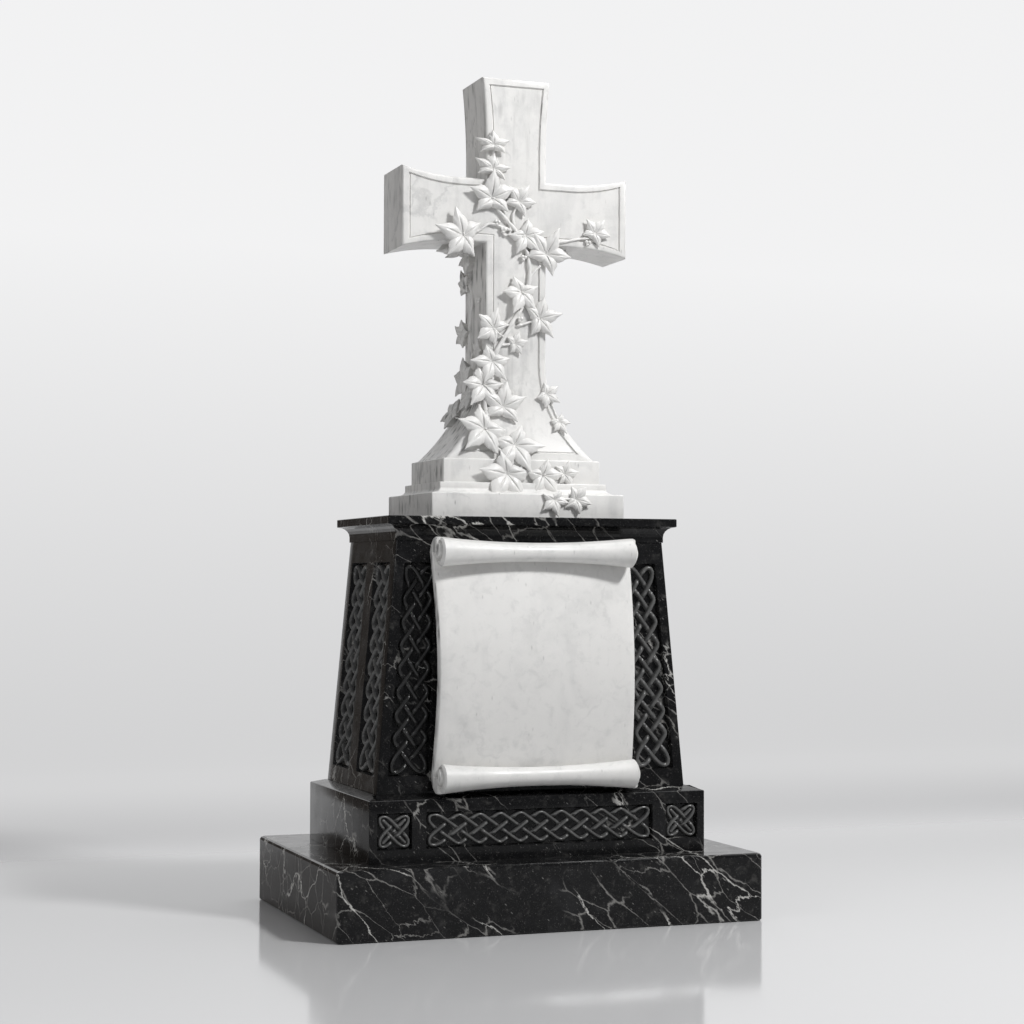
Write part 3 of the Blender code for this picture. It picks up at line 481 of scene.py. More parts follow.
def strand_marble(name, shade=0.0):
    """Honed black marble of the knotwork: a paler grey, with a painted highlight where it stands out,
    and painted near black by a share as the scroll's shadow in the front panel on the left of the
    scroll."""
    material, n, shader, place = new_material(name)
    cloud = n.mask(CLOUDS, place, Scale=30.0, Low=0.40, High=0.75)
    grain = n.mask(SPECKS, place, Scale=420.0, Size=0.40, Share=0.16)
    # Painted highlight: strands are paler on their ridges, where the pointiness is high.
    ridge_highlight = n.add("ShaderNodeNewGeometry").outputs["Pointiness"]
    colour = n.mix(cloud, (0.045, 0.045, 0.045), (0.105, 0.105, 0.102))
    colour = n.mix(n.span(ridge_highlight, 0.50, 0.60), colour, (0.21, 0.21, 0.205))
    colour = n.stain(colour, grain, 0.4, (0.24, 0.24, 0.23))
    # Painted shadow of the scroll: by the shade share, strands in the front panel left of the scroll
    # turn near black.
    axes = n.add("ShaderNodeSeparateXYZ", {0: place})
    aside = n.span(axes.outputs[0], -0.20, -0.24)
    dark = n.math("MULTIPLY", aside, n.span(axes.outputs[1], -0.178, -0.184))
    dark = n.math("MULTIPLY", dark, shade)
    colour = n.mix(dark, colour, (0.010, 0.010, 0.010))
    rough = n.span(n.noise(place, 40.0, 3.0), 0.35, 0.70, 0.24, 0.36)
    n.finish(shader, colour, rough, n.noise(place, 150.0, 3.0), 0.05, 0.001)
    return material


def white_marble(name, grey=1.0, streaks=0.12):
    """Honed white marble: pale clouds, long grey drifts, dark specks, and grey upright streaks.

    Specks and streaks are stronger, and dark blots are added, on faces that look sideways, by the
    mesh's
    side attribute: partly the stone's own marks, partly painted shade that darkens the side faces.
    """
    material, n, shader, place = new_material(name)
    cloud = n.mask(CLOUDS, place, Scale=6.0, Low=0.42, High=0.74)
    drift = n.mask(CLOUDS, place, Stretch=(2.2, 2.2, 0.8), Scale=4.2, Low=0.52, High=0.70)
    streak = n.mask(CLOUDS, place, Stretch=(1.0, 1.0, 0.10), Scale=48.0, Low=0.50, High=0.72)
    vein = n.mask(VEINS, place, Scale=5.0, Width=0.050, Warp=0.16, Amount=0.50)
    stretch = {"Vector": place, "Rotation": (0.12, 0.10, 0.0), "Scale": (1.0, 1.0, 0.32)}
    tall = n.add("ShaderNodeMapping", stretch).outputs[0]
    speck = n.mask(SPECKS, tall, Scale=105.0, Size=0.30, Share=0.17)
    patch = n.span(n.noise(place, 7.0, 3.0), 0.42, 0.60)
    # Faces that look sideways get more specks, streaks and dark blots: partly marks, partly painted
    # shade of the sides.
    side = n.span(n.add("ShaderNodeAttribute", attribute_name="side").outputs["Fac"], 0.45, 0.85)
    patch = n.math("MAXIMUM", patch, side)
    streaks = n.math("ADD", n.math("MULTIPLY", side, 0.60), streaks)
    side_shade_blots = n.mask(SPECKS, tall, Scale=62.0, Size=0.66, Share=0.42)
    sugar = n.noise(place, 420.0, 2.0)
    mottle = n.mask(CLOUDS, place, Scale=34.0, Low=0.48, High=0.72)
    colour = n.mix(cloud, (0.78, 0.77, 0.75), (0.66, 0.655, 0.64))
    colour = n.stain(colour, mottle, 0.35, (0.52, 0.52, 0.51))
    colour = n.stain(colour, drift, 0.40 * grey, (0.47, 0.47, 0.47))
    colour = n.stain(colour, vein, 0.30 * grey, (0.30, 0.30, 0.30))
    colour = n.stain(colour, streak, streaks, (0.36, 0.355, 0.345))
    colour = n.stain(colour, n.math("MULTIPLY", speck, patch), 0.75 * grey, (0.15, 0.145, 0.14))
    # Painted shade: dark blots only on sideways faces darken the sides.
    colour = n.stain(colour, n.math("MULTIPLY", side_shade_blots, side), 0.90, (0.11, 0.11, 0.11))
    colour = n.mix(0.10, colour, n.mix(sugar, (0.62, 0.62, 0.60), (1.0, 1.0, 0.98)))
    rough = n.span(n.noise(place, 22.0, 4.0), 0.35, 0.68, 0.34, 0.50)
    height = n.math("ADD", sugar, n.math("MULTIPLY", n.noise(place, 36.0, 4.0), 2.0))
    n.finish(shader, colour, rough, height, 0.10, 0.0012)
    return material


# Blocks with sunk panels

def block(shape, heights, halves, radius, faces, sunk):
    """Block with rounded upright edges: its ring at each height is a rounded rectangle.

    Halves are its half width and half depth at the heights. Each face has panels as pairs of arrays of
    places along it, and a panel's inner columns lie deeper by the panel sink at the sunk heights.
    """
    directions = np.array([((1, 0), (0, -1)), ((0, 1), (1, 0)), ((-1, 0), (0, 1)), ((0, -1), (-1, 0))])
    depth = np.where(sunk, PANEL_SINK, 0.0)
    zero = np.zeros(len(heights))
    columns = []
    for k, (along, outward) in enumerate(directions):
        reach, far = halves[:, k % 2], halves[:, 1 - k % 2]
        stops = [(-reach + radius, zero)]
        for left, right in faces[k]:
            stops += [(left, zero), (left + PANEL_BEVEL, depth)]
            stops += [(right - PANEL_BEVEL, depth), (right, zero)]
        stops.append((reach - radius, zero))
        for place, sink in stops:
            columns.append(place[:, None] * along + (far - sink)[:, None] * outward)
        for angle in np.radians([18, 36, 54, 72]):
            turn = radius * (math.sin(angle) * along + math.cos(angle) * outward)
            middle = (reach - radius)[:, None] * along + (far - radius)[:, None] * outward
            columns.append(middle + turn)
    flat = np.stack(columns, axis=1)
    tall = np.repeat(heights[:, None, None], flat.shape[1], axis=1)
    shape.grid(np.concatenate([flat, tall], axis=2), around=True, ends=True)


def arris(half, top, radius, angles):
    """Rings of a round upper edge, as pairs of half sizes and height."""
    turns = [(math.cos(a), math.sin(a)) for a in np.radians(angles)]
    return [(half - radius * (1 - across), top - radius * (1 - up)) for across, up in turns]


def inset(corners, margin):
    """Corners of a panel moved in by a margin."""
    a, b, c, d = corners
    s = 2 * margin / (np.linalg.norm(b - a) + np.linalg.norm(c - d))
    t = 2 * margin / (np.linalg.norm(d - a) + np.linalg.norm(c - b))
    return panel_points(corners, np.array([[s, t], [1 - s, t], [1 - s, 1 - t], [s, 1 - t]]))


def panel_points(corners, shares):
    """Points of a panel at shares of its width and height: a blend of its four corners."""
    a, b, c, d = corners
    s, t = shares[:, :1], shares[:, 1:]
    return (a * (1 - s) + b * s) * (1 - t) + (d * (1 - s) + c * s) * t


def strand_paths(columns, rows):
    """Strands of a plait on a grid, one for each crossing where it passes over, with that crossing.

    A strand leaves its crossing on both sides, turns back at the border, and ends at the next crossing.
    """
    paths = []
    crossings = [(i, j + 0.5, -1) for i in range(1, columns) for j in range(rows)]
    crossings += [(i + 0.5, j, 1) for i in range(columns) for j in range(1, rows)]
    for x, y, lean in crossings:
        ends = []
        for sign in (-1, 1):
            dx, dy = 0.5 * sign, 0.5 * sign * lean
            px, py = x + dx, y + dy
            turns = []
            while px in (0, columns) or py in (0, rows):
                turns.append((px, py))
                if px in (0, columns):
                    dx = -dx
                if py in (0, rows):
                    dy = -dy
                px, py = px + dx, py + dy
            if len(turns) == 2:
                corner = (round(turns[0][0] / columns) * columns, round(turns[0][1] / rows) * rows)
                turns.insert(1, corner)
            ends.append(turns + [(px, py)])
        paths.append((ends[0][::-1], (x, y), ends[1]))
    return paths


def sweep_strand(shape, first, crossing, last, normal, width, free):
    """Half-round strand along a path: a half ellipse carried along it, high at its crossing and dipping
    by a cosine under its neighbours at both ends; a free end is rounded off."""
    count = 18
    halves = [resample([crossing, *side], count)[0] for side in (first[::-1], last)]
    path = soften(np.concatenate([halves[0][::-1], halves[1][1:]]), 9)
    path, stops = resample(path, 2 * count + 3)
    ends = np.stack([stops, stops[::-1]])
    loose = np.array(free)[:, None]
    to_end = np.where(loose, stops[-1], ends).min(axis=0)
    dip = ease(to_end, width * 0.30, width * 1.5)
    high = STRAND_LOW + (STRAND_HIGH - STRAND_LOW) * dip
    end = np.where(loose, ends, stops[-1]).min(axis=0)
    tip = np.sqrt(np.clip(1 - (1 - np.clip(end / (width * 0.5), 0, 1)) ** 2, 0.02, 1))
    half = width / 2 * tip
    high = high * (0.35 + 0.65 * tip)
    along = unit(np.gradient(path, axis=0))
    across = np.cross(normal, along)
    angle = np.linspace(0, np.pi, 11)
    side = np.concatenate([[1.0], np.cos(angle), [-1.0]])
    rise = np.concatenate([[-1.0], np.sin(angle) ** 0.85, [-1.0]])
    points = path[:, None] + half[:, None, None] * side[None, :, None] * across[:, None]
    lift = np.where(rise < 0, -0.0012, rise * high[:, None])
    shape.grid(points + lift[..., None] * normal, around=True, ends=True)


def carve(shape, corners, width, pitch):
    """Strands of one panel: a plait, or a square knot where the pitch is zero."""
    corners = np.array(corners)
    normal = unit(np.cross(corners[1] - corners[0], corners[3] - corners[0]))
    floor = inset(corners, PANEL_BEVEL * 0.5 + width * 0.36) - PANEL_SINK * normal
    wide, tall = np.linalg.norm(corners[1] - corners[0]), np.linalg.norm(corners[3] - corners[0])
    columns, rows = 2, 2
    if pitch and wide > tall:
        columns = max(2, round(wide / pitch))
    elif pitch:
        rows = max(2, round(tall / pitch))
    share = np.array([1 / columns, 1 / rows])
    strands = [(*path, (False, False)) for path in strand_paths(columns, rows)]
    if not pitch:
        strands.append(([(0.75, 0.75)], (1.0, 1.0), [(1.25, 1.25)], (False, False)))
        for corner in ((-1, -1), (-1, 1), (1, -1), (1, 1)):
            start, middle, tip = (tuple(1 + reach * sign for sign in corner) for reach in ARM_PLACES)
            strands.append(([start], middle, [tip], (False, True)))
    for first, crossing, last, free in strands:
        first, crossing, last = (panel_points(floor, np.array(part, float).reshape(-1, 2) * share)
                                 for part in (first, [crossing], last))
        sweep_strand(shape, first, crossing[0], last, normal, width, free)


def plinth_step(material, strand_material):
    """Step: a block with a sloping wash on top, and a long plait between two square knots in front."""
    foot, edge, top = STEP_LOW[2], STEP_EDGE, STEP_HIGH[2]
    half = STEP_HIGH[:2]
    low, high = foot + STEP_PANEL_RIM, edge - STEP_PANEL_RIM
    side = high - low
    rings = [(half, z) for z in (foot, low, low + PANEL_BEVEL, high - PANEL_BEVEL, high)]
    rings += arris(half, edge, STEP_ARRIS, (0, 30, 60, 90)) + [(DIE_FOOT_HALF + WASH_MARGIN, top)]
    halves, heights = (np.array(part) for part in zip(*rings))
    sunk = [False, False, True, True] + [False] * 6
    outer = half[0] - STEP_PANEL_SIDE
    spans = [(-outer, -outer + side), (-STEP_PLAIT_HALF, STEP_PLAIT_HALF), (outer - side, outer)]
    ones = np.ones(len(heights))
    shape = Shape()
    front_panels = [(a * ones, b * ones) for a, b in spans]
    block(shape, heights, halves, STEP_ARRIS, [front_panels, [], [], []], sunk)
    shape.piece("plinth_step_block", material, ["plinth_step"], 28)
    shape = Shape()
    front = -half[1]
    for (left, right), pitch in zip(spans, (0.0, STEP_PITCH, 0.0)):
        corners = [(left, front, low), (right, front, low), (right, front, high), (left, front, high)]
        carve(shape, corners, STEP_STRAND, pitch)
    shape.piece("plinth_step_strands", strand_material, ["plinth_step"], 50)


def die_half(z):
    """Half width and half depth of the die at heights: a straight taper."""
    share = (np.asarray(z, float) - DIE_LOW[2]) / (DIE_HIGH[2] - DIE_LOW[2])
    return DIE_FOOT_HALF + (DIE_TOP_HALF - DIE_FOOT_HALF) * share[..., None]


def die(material, strand_material):
    """Die: a tapered block with tall plaits at its front corners and sides, and a plain back panel."""
    low, high = DIE_LOW[2] + DIE_PANEL_FOOT, DIE_HIGH[2] - DIE_PANEL_HEAD
    heights = np.array([DIE_LOW[2], low, low + PANEL_BEVEL, high - PANEL_BEVEL, high, DIE_HIGH[2]])
    sunk = [False, False, True, True, False, False]
    halves = die_half(heights)
    share = (heights - low) / (high - low)
    width = DIE_PANEL_WIDTHS[0] + (DIE_PANEL_WIDTHS[1] - DIE_PANEL_WIDTHS[0]) * share
    outer = halves[:, 0] - DIE_PANEL_SIDE
    near, far = np.full(len(heights), SIDE_PANEL_NEAR), halves[:, 1] - SIDE_PANEL_FAR
    back = halves[:, 0] - BACK_PANEL_SIDE
    front_panels = [(-outer, -outer + width), (outer - width, outer)]
    side_panels = [(-far, -near), (near, far)]
    faces = [front_panels, side_panels, [(-back, back)], side_panels]
    shape = Shape()
    block(shape, heights, halves, DIE_ARRIS, faces, sunk)
    shape.piece("die_block", material, ["die"], 28)
    shape = Shape()
    foot, head = 1, 4
    for left, right in front_panels:
        ring = ((left, foot), (right, foot), (right, head), (left, head))
        corners = [(place[r], -halves[r, 1], heights[r]) for place, r in ring]
        carve(shape, corners, DIE_STRAND, DIE_PITCH)
    for left, right in side_panels:
        ring = ((left, foot), (right, foot), (right, head), (left, head))
        for sign in (1, -1):
            corners = [(sign * halves[r, 0], sign * place[r], heights[r]) for place, r in ring]
            carve(shape, corners, DIE_STRAND, DIE_PITCH)
    shape.piece("die_strands", strand_material, ["die"], 50)


# Scroll

def roll_radius(share):
    """Radius of a roll along its axis: slimmer in the middle by the square of the place."""
    return ROLL_MIDDLE + (ROLL_END - ROLL_MIDDLE) * np.abs(share) ** 2


def roll(shape, reach, height):
    """Roll of the scroll: rings about a level axis, and round ends with a spiral groove that moves out
    one turn's pitch for each turn."""
    share = np.linspace(-1, 1, 57)
    angle = np.linspace(0, 2 * np.pi, 64, endpoint=False)
    around = np.stack([np.zeros_like(angle), np.cos(angle), np.sin(angle)], axis=1)
    radius = roll_radius(share)
    rings = radius[:, None, None] * around[None]
    rings[..., 0] += (share * ROLL_HALF)[:, None] + SCROLL_SHIFT
    rings[..., 1] += (-reach - SHEET_THICK - radius)[:, None]
    rings[..., 2] += height
    inner = np.concatenate([np.linspace(0.995, 0.90, 6), np.linspace(0.88, 0.03, 40)])
    for side in (-1, 1):
        turns = SPIRAL_TURNS * inner[:, None] - side * angle[None] / (2 * np.pi)
        wave = np.abs(turns % 1.0 - 0.5) * 2
        groove = SPIRAL_DEPTH * (1 - ease(wave, 0.16, 0.52)) * ease(1 - inner, 0.16, 0.26)[:, None]
        dome = ROLL_DOME * (1 - inner**2.2)[:, None]
        face = ROLL_END * inner[:, None, None] * around[None]
        face[..., 0] = SCROLL_SHIFT + side * (ROLL_HALF + dome - groove)
        face[..., 1] += -reach - SHEET_THICK - ROLL_END
        face[..., 2] += height
        edge = rings[-1 if side > 0 else 0][None]
        number = shape.grid(np.concatenate([edge, face]), around=True)
        shape.faces.append(number[-1].tolist())
    shape.grid(rings, around=True)


def sheet(shape, reaches, heights):
    """Sheet of the scroll, carried from side to side: its section runs over the back of the upper roll,
    down a bow of half a sine that stands off the die, and under the lower roll, and it thins to
    nothing as it goes round each roll."""
    low, high = heights
    share = np.linspace(0, 1, 41)
    bow = np.sin(np.pi * share)
    turn = np.radians(np.linspace(90, 0, 14))
    columns = [(-SHEET_HALF, 0.0040), (-SHEET_HALF + 0.0012, 0.0014), (-SHEET_HALF + 0.0040, 0.0)]
    columns += [(place, 0.0) for place in np.linspace(-0.92, 0.92, 23) * SHEET_HALF]
    columns += [(-place, shrink) for place, shrink in columns[2::-1]]
    rows = []
    for x, shrink in columns:
        radius = roll_radius(np.clip(x / ROLL_HALF, -1, 1))
        thin = 1 - turn / turn[0]
        arc = radius + SHEET_THICK * thin - shrink
        lean = np.interp(share, [0, 1], reaches)
        back = -lean - SHEET_BOW_BACK * bow - shrink
        front = -lean - SHEET_THICK - SHEET_BOW_FRONT * bow + shrink
        z = low + (high - low) * share
        centre = -np.array(reaches) - SHEET_THICK - radius
        upper = np.stack([centre[1] + arc * np.cos(turn), high + arc * np.sin(turn)], axis=1)
        lower = np.stack([centre[0] + arc * np.cos(turn), low - arc * np.sin(turn)], axis=1)[::-1]
        middle = np.stack([back, z], axis=1)[-2:0:-1]
        inside = np.stack([front, z], axis=1)
        loop = np.concatenate([upper, middle, lower, [[centre[0], low]], inside, [[centre[1], high]]])
        narrow = SHEET_NARROW * np.sin(np.pi * np.clip((loop[:, 1] - low) / (high - low), 0, 1))
        across = x * (1 - narrow / SHEET_HALF) + SCROLL_SHIFT
        rows.append(np.concatenate([across[:, None], loop], axis=1))
    shape.grid(rows, around=True, ends=True)


def scroll_tablet(material):
    """Blank scroll: a bowed sheet that curls forward round two rolls."""
    low = STEP_HIGH[2] + LOW_ROLL_GAP + ROLL_END
    high = STEP_HIGH[2] + HIGH_ROLL_RISE
    reaches = [die_half(z - ROLL_END)[1] + SCROLL_GAP for z in (low, high)]
    shape = Shape()
    for reach, height in zip(reaches, (low, high)):
        roll(shape, reach, height)
    sheet(shape, reaches, (low, high))
    shape.piece("scroll_blank", material, ["scroll_tablet"], 40)


# Cross

def flare(z):
    """Share of the base flare left at heights above the foot: a power of the height that remains."""
    return np.clip(1 - np.maximum(z, 0.0) / FLARE_HEIGHT, 0, None) ** FLARE_POWER


def half_depth(z):
    """Half depth of the cross at heights above the foot."""
    return CROSS_HALF_DEPTH + (CROSS_BASE_HALF_DEPTH - CROSS_HALF_DEPTH) * flare(z)


def half_width(z):
    """Half width of the stem at heights above the foot."""
    return STEM_HALF + (BASE_HALF - STEM_HALF) * flare(z)


def outline(margin, base):
    """Right half of the cross outline, moved in by a margin: points across and up from its base.

    The base flares by a power of the height, and the arms widen by the square of the way to their ends.
    """
    z = base + (FLARE_HEIGHT - base) * np.linspace(0, 1, FLARE_STEPS) ** 1.15
    remaining = np.clip(1 - np.maximum(z, 0) / FLARE_HEIGHT, 0, 1)
    slope = (BASE_HALF - STEM_HALF) * FLARE_POWER / FLARE_HEIGHT * remaining ** (FLARE_POWER - 1)
    stem = np.stack([half_width(z) - margin * np.hypot(1, slope), z], axis=1)
    share = np.linspace(0, 1, ARM_STEPS)
    start = STEM_HALF + ARM_STRAIGHT
    x = start + (ARM_REACH - margin - start) * share
    arm = ARM_HALF + (ARM_END_HALF - ARM_HALF) * share**2 - margin
    inner = [[STEM_HALF - margin, ARM_CENTRE - ARM_HALF + margin]]
    lower = np.concatenate([inner, np.stack([x, ARM_CENTRE - arm], axis=1)])
    upper = lower[::-1] * [1, -1] + [0, 2 * ARM_CENTRE]
    start = ARM_CENTRE + ARM_HALF + ARM_STRAIGHT
    z = start + (CROSS_HEIGHT - margin - start) * share
    top = np.stack([STEM_HALF + (TOP_END_HALF - STEM_HALF) * share**2 - margin, z], axis=1)
    return np.concatenate([stem, lower, upper, top])


def cross_stone(material):
    """Cross and stepped foot: loops of the outline step in over a round arris and a round sunk groove
    on both faces, the fields inside are strips, and the foot is a stack of rounded rectangles."""
    loops = []
    for angle in np.radians([0, 22.5, 45, 67.5, 90]):
        margin = SOFT * (1 - math.cos(angle))
        loops.append((margin, SOFT * (1 - math.sin(angle)), -0.006))
    for angle in np.radians([0, 30, 60, 90, 120, 150, 180]):
        margin = GROOVE_INSET - GROOVE_HALF * math.cos(angle)
        level = FIELD_SINK * (1 - math.cos(angle)) / 2
        loops.append((margin, level + GROOVE_DEPTH * math.sin(angle), margin))
    shape = Shape()
    rims = []
    field_low, field_high = FLARE_STEPS, FLARE_STEPS + 2 * ARM_STEPS + 1
    for side in (-1, 1):
        rows = []
        for margin, sink, base in loops:
            right = outline(margin, base)
            both = np.concatenate([right, right[::-1] * [-1, 1]])
            y = side * (half_depth(both[:, 1]) - sink)
            rows.append(np.stack([both[:, 0], y, FOOT_TOP + both[:, 1]], axis=1))
        number = shape.grid(rows, around=True)
        rims.append(number[0])
        field = number[-1]
        mirror = len(field) - 1
        stem = [*range(field_low + 1), *range(field_high, len(field) // 2)]
        strips = [(a, b, mirror - b, mirror - a) for a, b in zip(stem, stem[1:])]
        for k in range(ARM_STEPS):
            arm = (field_low + k, field_low + k + 1, field_high - k - 1, field_high - k)
            strips += [arm, tuple(mirror - i for i in arm)]
        shape.faces += [field[list(strip)].tolist() for strip in strips]
    front, back = rims
    shape.faces += np.stack([front, np.roll(front, -1), np.roll(back, -1), back], axis=1).tolist()
    cross_foot(shape)
    shape.piece("cross_stone", material, ["ivy_cross"], 32)


def cross_foot(shape):
    """Stepped foot as rings: lower step, hollow moulding, fillet and upper step, with soft arrises."""
    lower, fillet = CROSS_LOW[2] + FOOT_STEP_RISE, CROSS_LOW[2] + FOOT_FILLET_RISE
    ledge, proud = FOOT_LOWER_HALF - FOOT_LEDGE_INSET, FOOT_UPPER_HALF + FOOT_FILLET_PROUD
    rings = [(FOOT_LOWER_HALF, CROSS_LOW[2])]
    rings += arris(FOOT_LOWER_HALF, lower, FOOT_ARRIS, (0, 30, 60, 90))
    for a in np.radians(np.linspace(0, 90, 10)):
        half = ledge + (proud - ledge) * math.sin(a)
        rings.append((half, lower + HOLLOW_RISE * (1 - math.cos(a))))
    rings.append((proud, lower + HOLLOW_RISE + 0.0005))
    rings += arris(proud, fillet, FILLET_ARRIS, (0, 45, 90)) + [(FOOT_UPPER_HALF, fillet)]
    rings += arris(FOOT_UPPER_HALF, FOOT_TOP, FOOT_ARRIS, (0, 30, 60, 90))
    halves, heights = (np.array(part) for part in zip(*rings))
    block(shape, heights, halves, FOOT_ARRIS, [[], [], [], []], [False] * len(rings))


# Ivy

def face_frame(face, across, up):
    """Place on the white stone: its point, and its directions across, up and out."""
    step = 0.002
    if face in ("front", "left"):
        reach, wide = (half_depth, STEM_HALF) if face == "front" else (half_width, CROSS_HALF_DEPTH)
        out = float(reach(up))
        lean = math.atan2(float(reach(up + step)) - out, step)
        normal = np.array([0, -math.cos(lean), -math.sin(lean)])
        point = np.array([across * wide, -out, FOOT_TOP + up])
        rise = np.array([0, -math.sin(lean), math.cos(lean)])
    elif face == "under":
        point = np.array([across * STEM_HALF, up, FOOT_TOP + ARM_CENTRE - ARM_HALF - 0.001])
        normal, rise = np.array([0.0, 0.0, -1.0]), np.array([0.0, -1.0, 0.0])
    else:
        size = FOOT_UPPER_HALF if face == "foot" else FOOT_LOWER_HALF
        point = np.array([across * size[0], -size[1], FOOT_TOP + up])
        normal, rise = np.array([0.0, -1.0, 0.0]), np.array([0.0, 0.0, 1.0])
    if face == "left":
        turn = np.array([[0, 1, 0], [-1, 0, 0], [0, 0, 1]], float)
        point, normal, rise = turn @ point, turn @ normal, turn @ rise
    rise = unit(rise - normal * (rise @ normal))
    return point, np.cross(rise, normal), rise, unit(normal)


def leaf_rim(theta):
    """Reach of an ivy leaf in each direction: five pointed lobes joined at notches by straight edges
    that swell a little, each lobe varied a little."""
    corners = []
    for angle, length, notch_angle, notch in IVY_LOBES:
        wobble = RANDOM.uniform(-4, 4)
        corners.append((math.radians(angle + wobble), length * RANDOM.uniform(0.93, 1.06)))
        corners.append((math.radians(notch_angle), notch * RANDOM.uniform(0.92, 1.06)))
    angles = np.array([c[0] for c in corners])
    points = np.stack([np.cos(angles), np.sin(angles)], axis=1) * np.array([[c[1]] for c in corners])
    nearest = np.zeros_like(theta)
    lobe = np.zeros_like(theta)
    for k in range(len(corners)):
        a, b = points[k], points[(k + 1) % len(corners)]
        start, turn = angles[k], (angles[(k + 1) % len(corners)] - angles[k]) % (2 * np.pi)
        share = ((theta - start) % (2 * np.pi)) / turn
        inside = share < 1
        ray = np.stack([np.cos(theta), np.sin(theta)], axis=1)
        cut = (a[0] * b[1] - a[1] * b[0]) / (ray[:, 0] * (b - a)[1] - ray[:, 1] * (b - a)[0] + 1e-9)
        from_tip = np.clip(share if k % 2 == 0 else 1 - share, 0, 1)
        swell = 1 + np.sin(np.pi * from_tip) * (0.26 * from_tip**1.3 - 0.05)
        nearest = np.where(inside, np.abs(cut) * swell, nearest)
        lobe = np.where(inside, 1 - share if k % 2 == 0 else share, lobe)
    return nearest, lobe


def leaf(shape, face, across, up, span, direction, squash, curl, lift=0.0):
    """Ivy leaf in polar rings about its stalk.

    The rim is that of five pointed lobes. The height is lowest at the stalk and rises as a quarter sine
    of the way out, and each lobe is arched by a cosine across it down to the valleys at the notches.
    A thin vein is cut along each lobe, and the tips droop. A wall runs from the rim back under the
    leaf and into the stone.
    """
    point, x_axis, y_axis, normal = face_frame(face, across, up)
    turn = math.radians(direction + RANDOM.uniform(-5, 5))
    forward = math.cos(turn) * x_axis + math.sin(turn) * y_axis
    aside = np.cross(normal, forward)
    theta = np.linspace(-np.pi, np.pi, 160, endpoint=False)
    rho = np.concatenate([[0.02, 0.06], np.linspace(0.12, 1.0, 15)])
    reach, lobe = leaf_rim(theta)
    reach = reach * (1 + 0.012 * np.cos(theta * 29 + RANDOM.uniform(0, 6)))
    rise = LEAF_RISE * span
    r = rho[:, None]
    away = 1 - np.clip(lobe, 0, 1)[None]
    crest = np.cos(np.pi / 2 * away)
    swell = np.sin(np.pi * np.clip(r, 0, 1) ** 0.85 * 0.80)
    bowl = np.sin(np.pi / 2 * np.clip(r / 0.72, 0, 1))
    z = rise * (0.24 + 0.56 * bowl + 0.20 * swell * (crest - 0.5))
    vein = np.exp(-((away / (0.05 + 0.02 / (r + 0.2))) ** 2))
    z = z - rise * 0.10 * vein * ease(r, 0.02, 0.20) * (1 - ease(r, 0.8, 1.0))
    z = z + rise * curl * 0.6 * (1 - r**2) - rise * 0.30 * r**5
    flat_x = r * reach[None] * span * np.cos(theta)[None] * squash
    flat_y = r * reach[None] * span * np.sin(theta)[None]
    z = z + LEAF_TILT * flat_x * (1 - curl) + lift
    rim = [(1.0, -0.0010), (0.985, -0.0022), (0.94, -0.0036), (0.86, -0.0052)]
    xs, ys, zs = [flat_x], [flat_y], [z]
    for scale, drop in rim:
        xs.append(flat_x[-1:] * scale)
        ys.append(flat_y[-1:] * scale)
        zs.append(np.maximum(z[-1:] + drop, -0.002))
    xs.append(flat_x[-1:] * 0.60)
    ys.append(flat_y[-1:] * 0.60)
    zs.append(np.full_like(z[-1:], -0.006))
    flat_x, flat_y, z = (np.concatenate(part) for part in (xs, ys, zs))
    points = point + flat_x[..., None] * forward + flat_y[..., None] * aside + z[..., None] * normal
    shape.grid(points, around=True, ends=True)


def tube(shape, path, normals, radius):
    """Round stem along a path: circles square to it, drawn in to a point at both ends."""
    along = unit(np.gradient(path, axis=0))
    across = unit(np.cross(along, normals))
    out = np.cross(across, along)
    angle = np.linspace(0, 2 * np.pi, 12, endpoint=False)
    ring = np.cos(angle)[None, :, None] * across[:, None] + np.sin(angle)[None, :, None] * out[:, None]
    shape.grid(path[:, None] + ring * np.asarray(radius)[:, None, None], around=True, ends=True)


def vine(shape, face, radius, places):
    """Stem that lies on a face and waves a little in thickness and height."""
    places = catmull(places, 9)
    frames = [face_frame(face, across, up) for across, up in places]
    normals = np.array([f[3] for f in frames])
    points = np.array([f[0] for f in frames])
    run = np.linspace(0, 1, len(points))
    wave = 1 + 0.10 * np.sin(run * len(points) * 0.9 + radius * 5000)
    taper = np.sqrt(np.clip(np.minimum(run, 1 - run) * len(points) / 3, 0.12, 1)) * (1.12 - 0.34 * run)
    radii = radius * wave * taper
    tube(shape, points + normals * (radii * 0.45)[:, None], normals, radii)
    return points


def stalks(shape, paths):
    """Short arched stalk from the nearest stem of the same face to the middle of each leaf."""
    for face, across, up, span, *_ in LEAVES:
        point, _, _, normal = face_frame(face, across, up)
        near = [points for side, points in paths if side == face]
        if not near:
            continue
        points = min(near, key=lambda row: np.linalg.norm(row - point, axis=1).min())
        gaps = np.linalg.norm(points - point, axis=1)
        best = int(gaps.argmin())
        if not STALK_SHORTEST < gaps[best] < STALK_LONGEST:
            continue
        t = np.linspace(0, 1, 12)[:, None]
        line = points[best] * (1 - t) + (point + normal * STALK_END * span) * t
        arch = 0.006 * np.sin(np.pi * t) + 0.002
        bow = np.cross(normal, unit(point - points[best])) * 0.10 * gaps[best]
        path = line + arch * normal + bow * np.sin(np.pi * t)
        normals = np.repeat(normal[None], len(t), axis=0)
        tube(shape, path, normals, STALK_RADIUS * np.linspace(1.1, 0.8, len(t)))


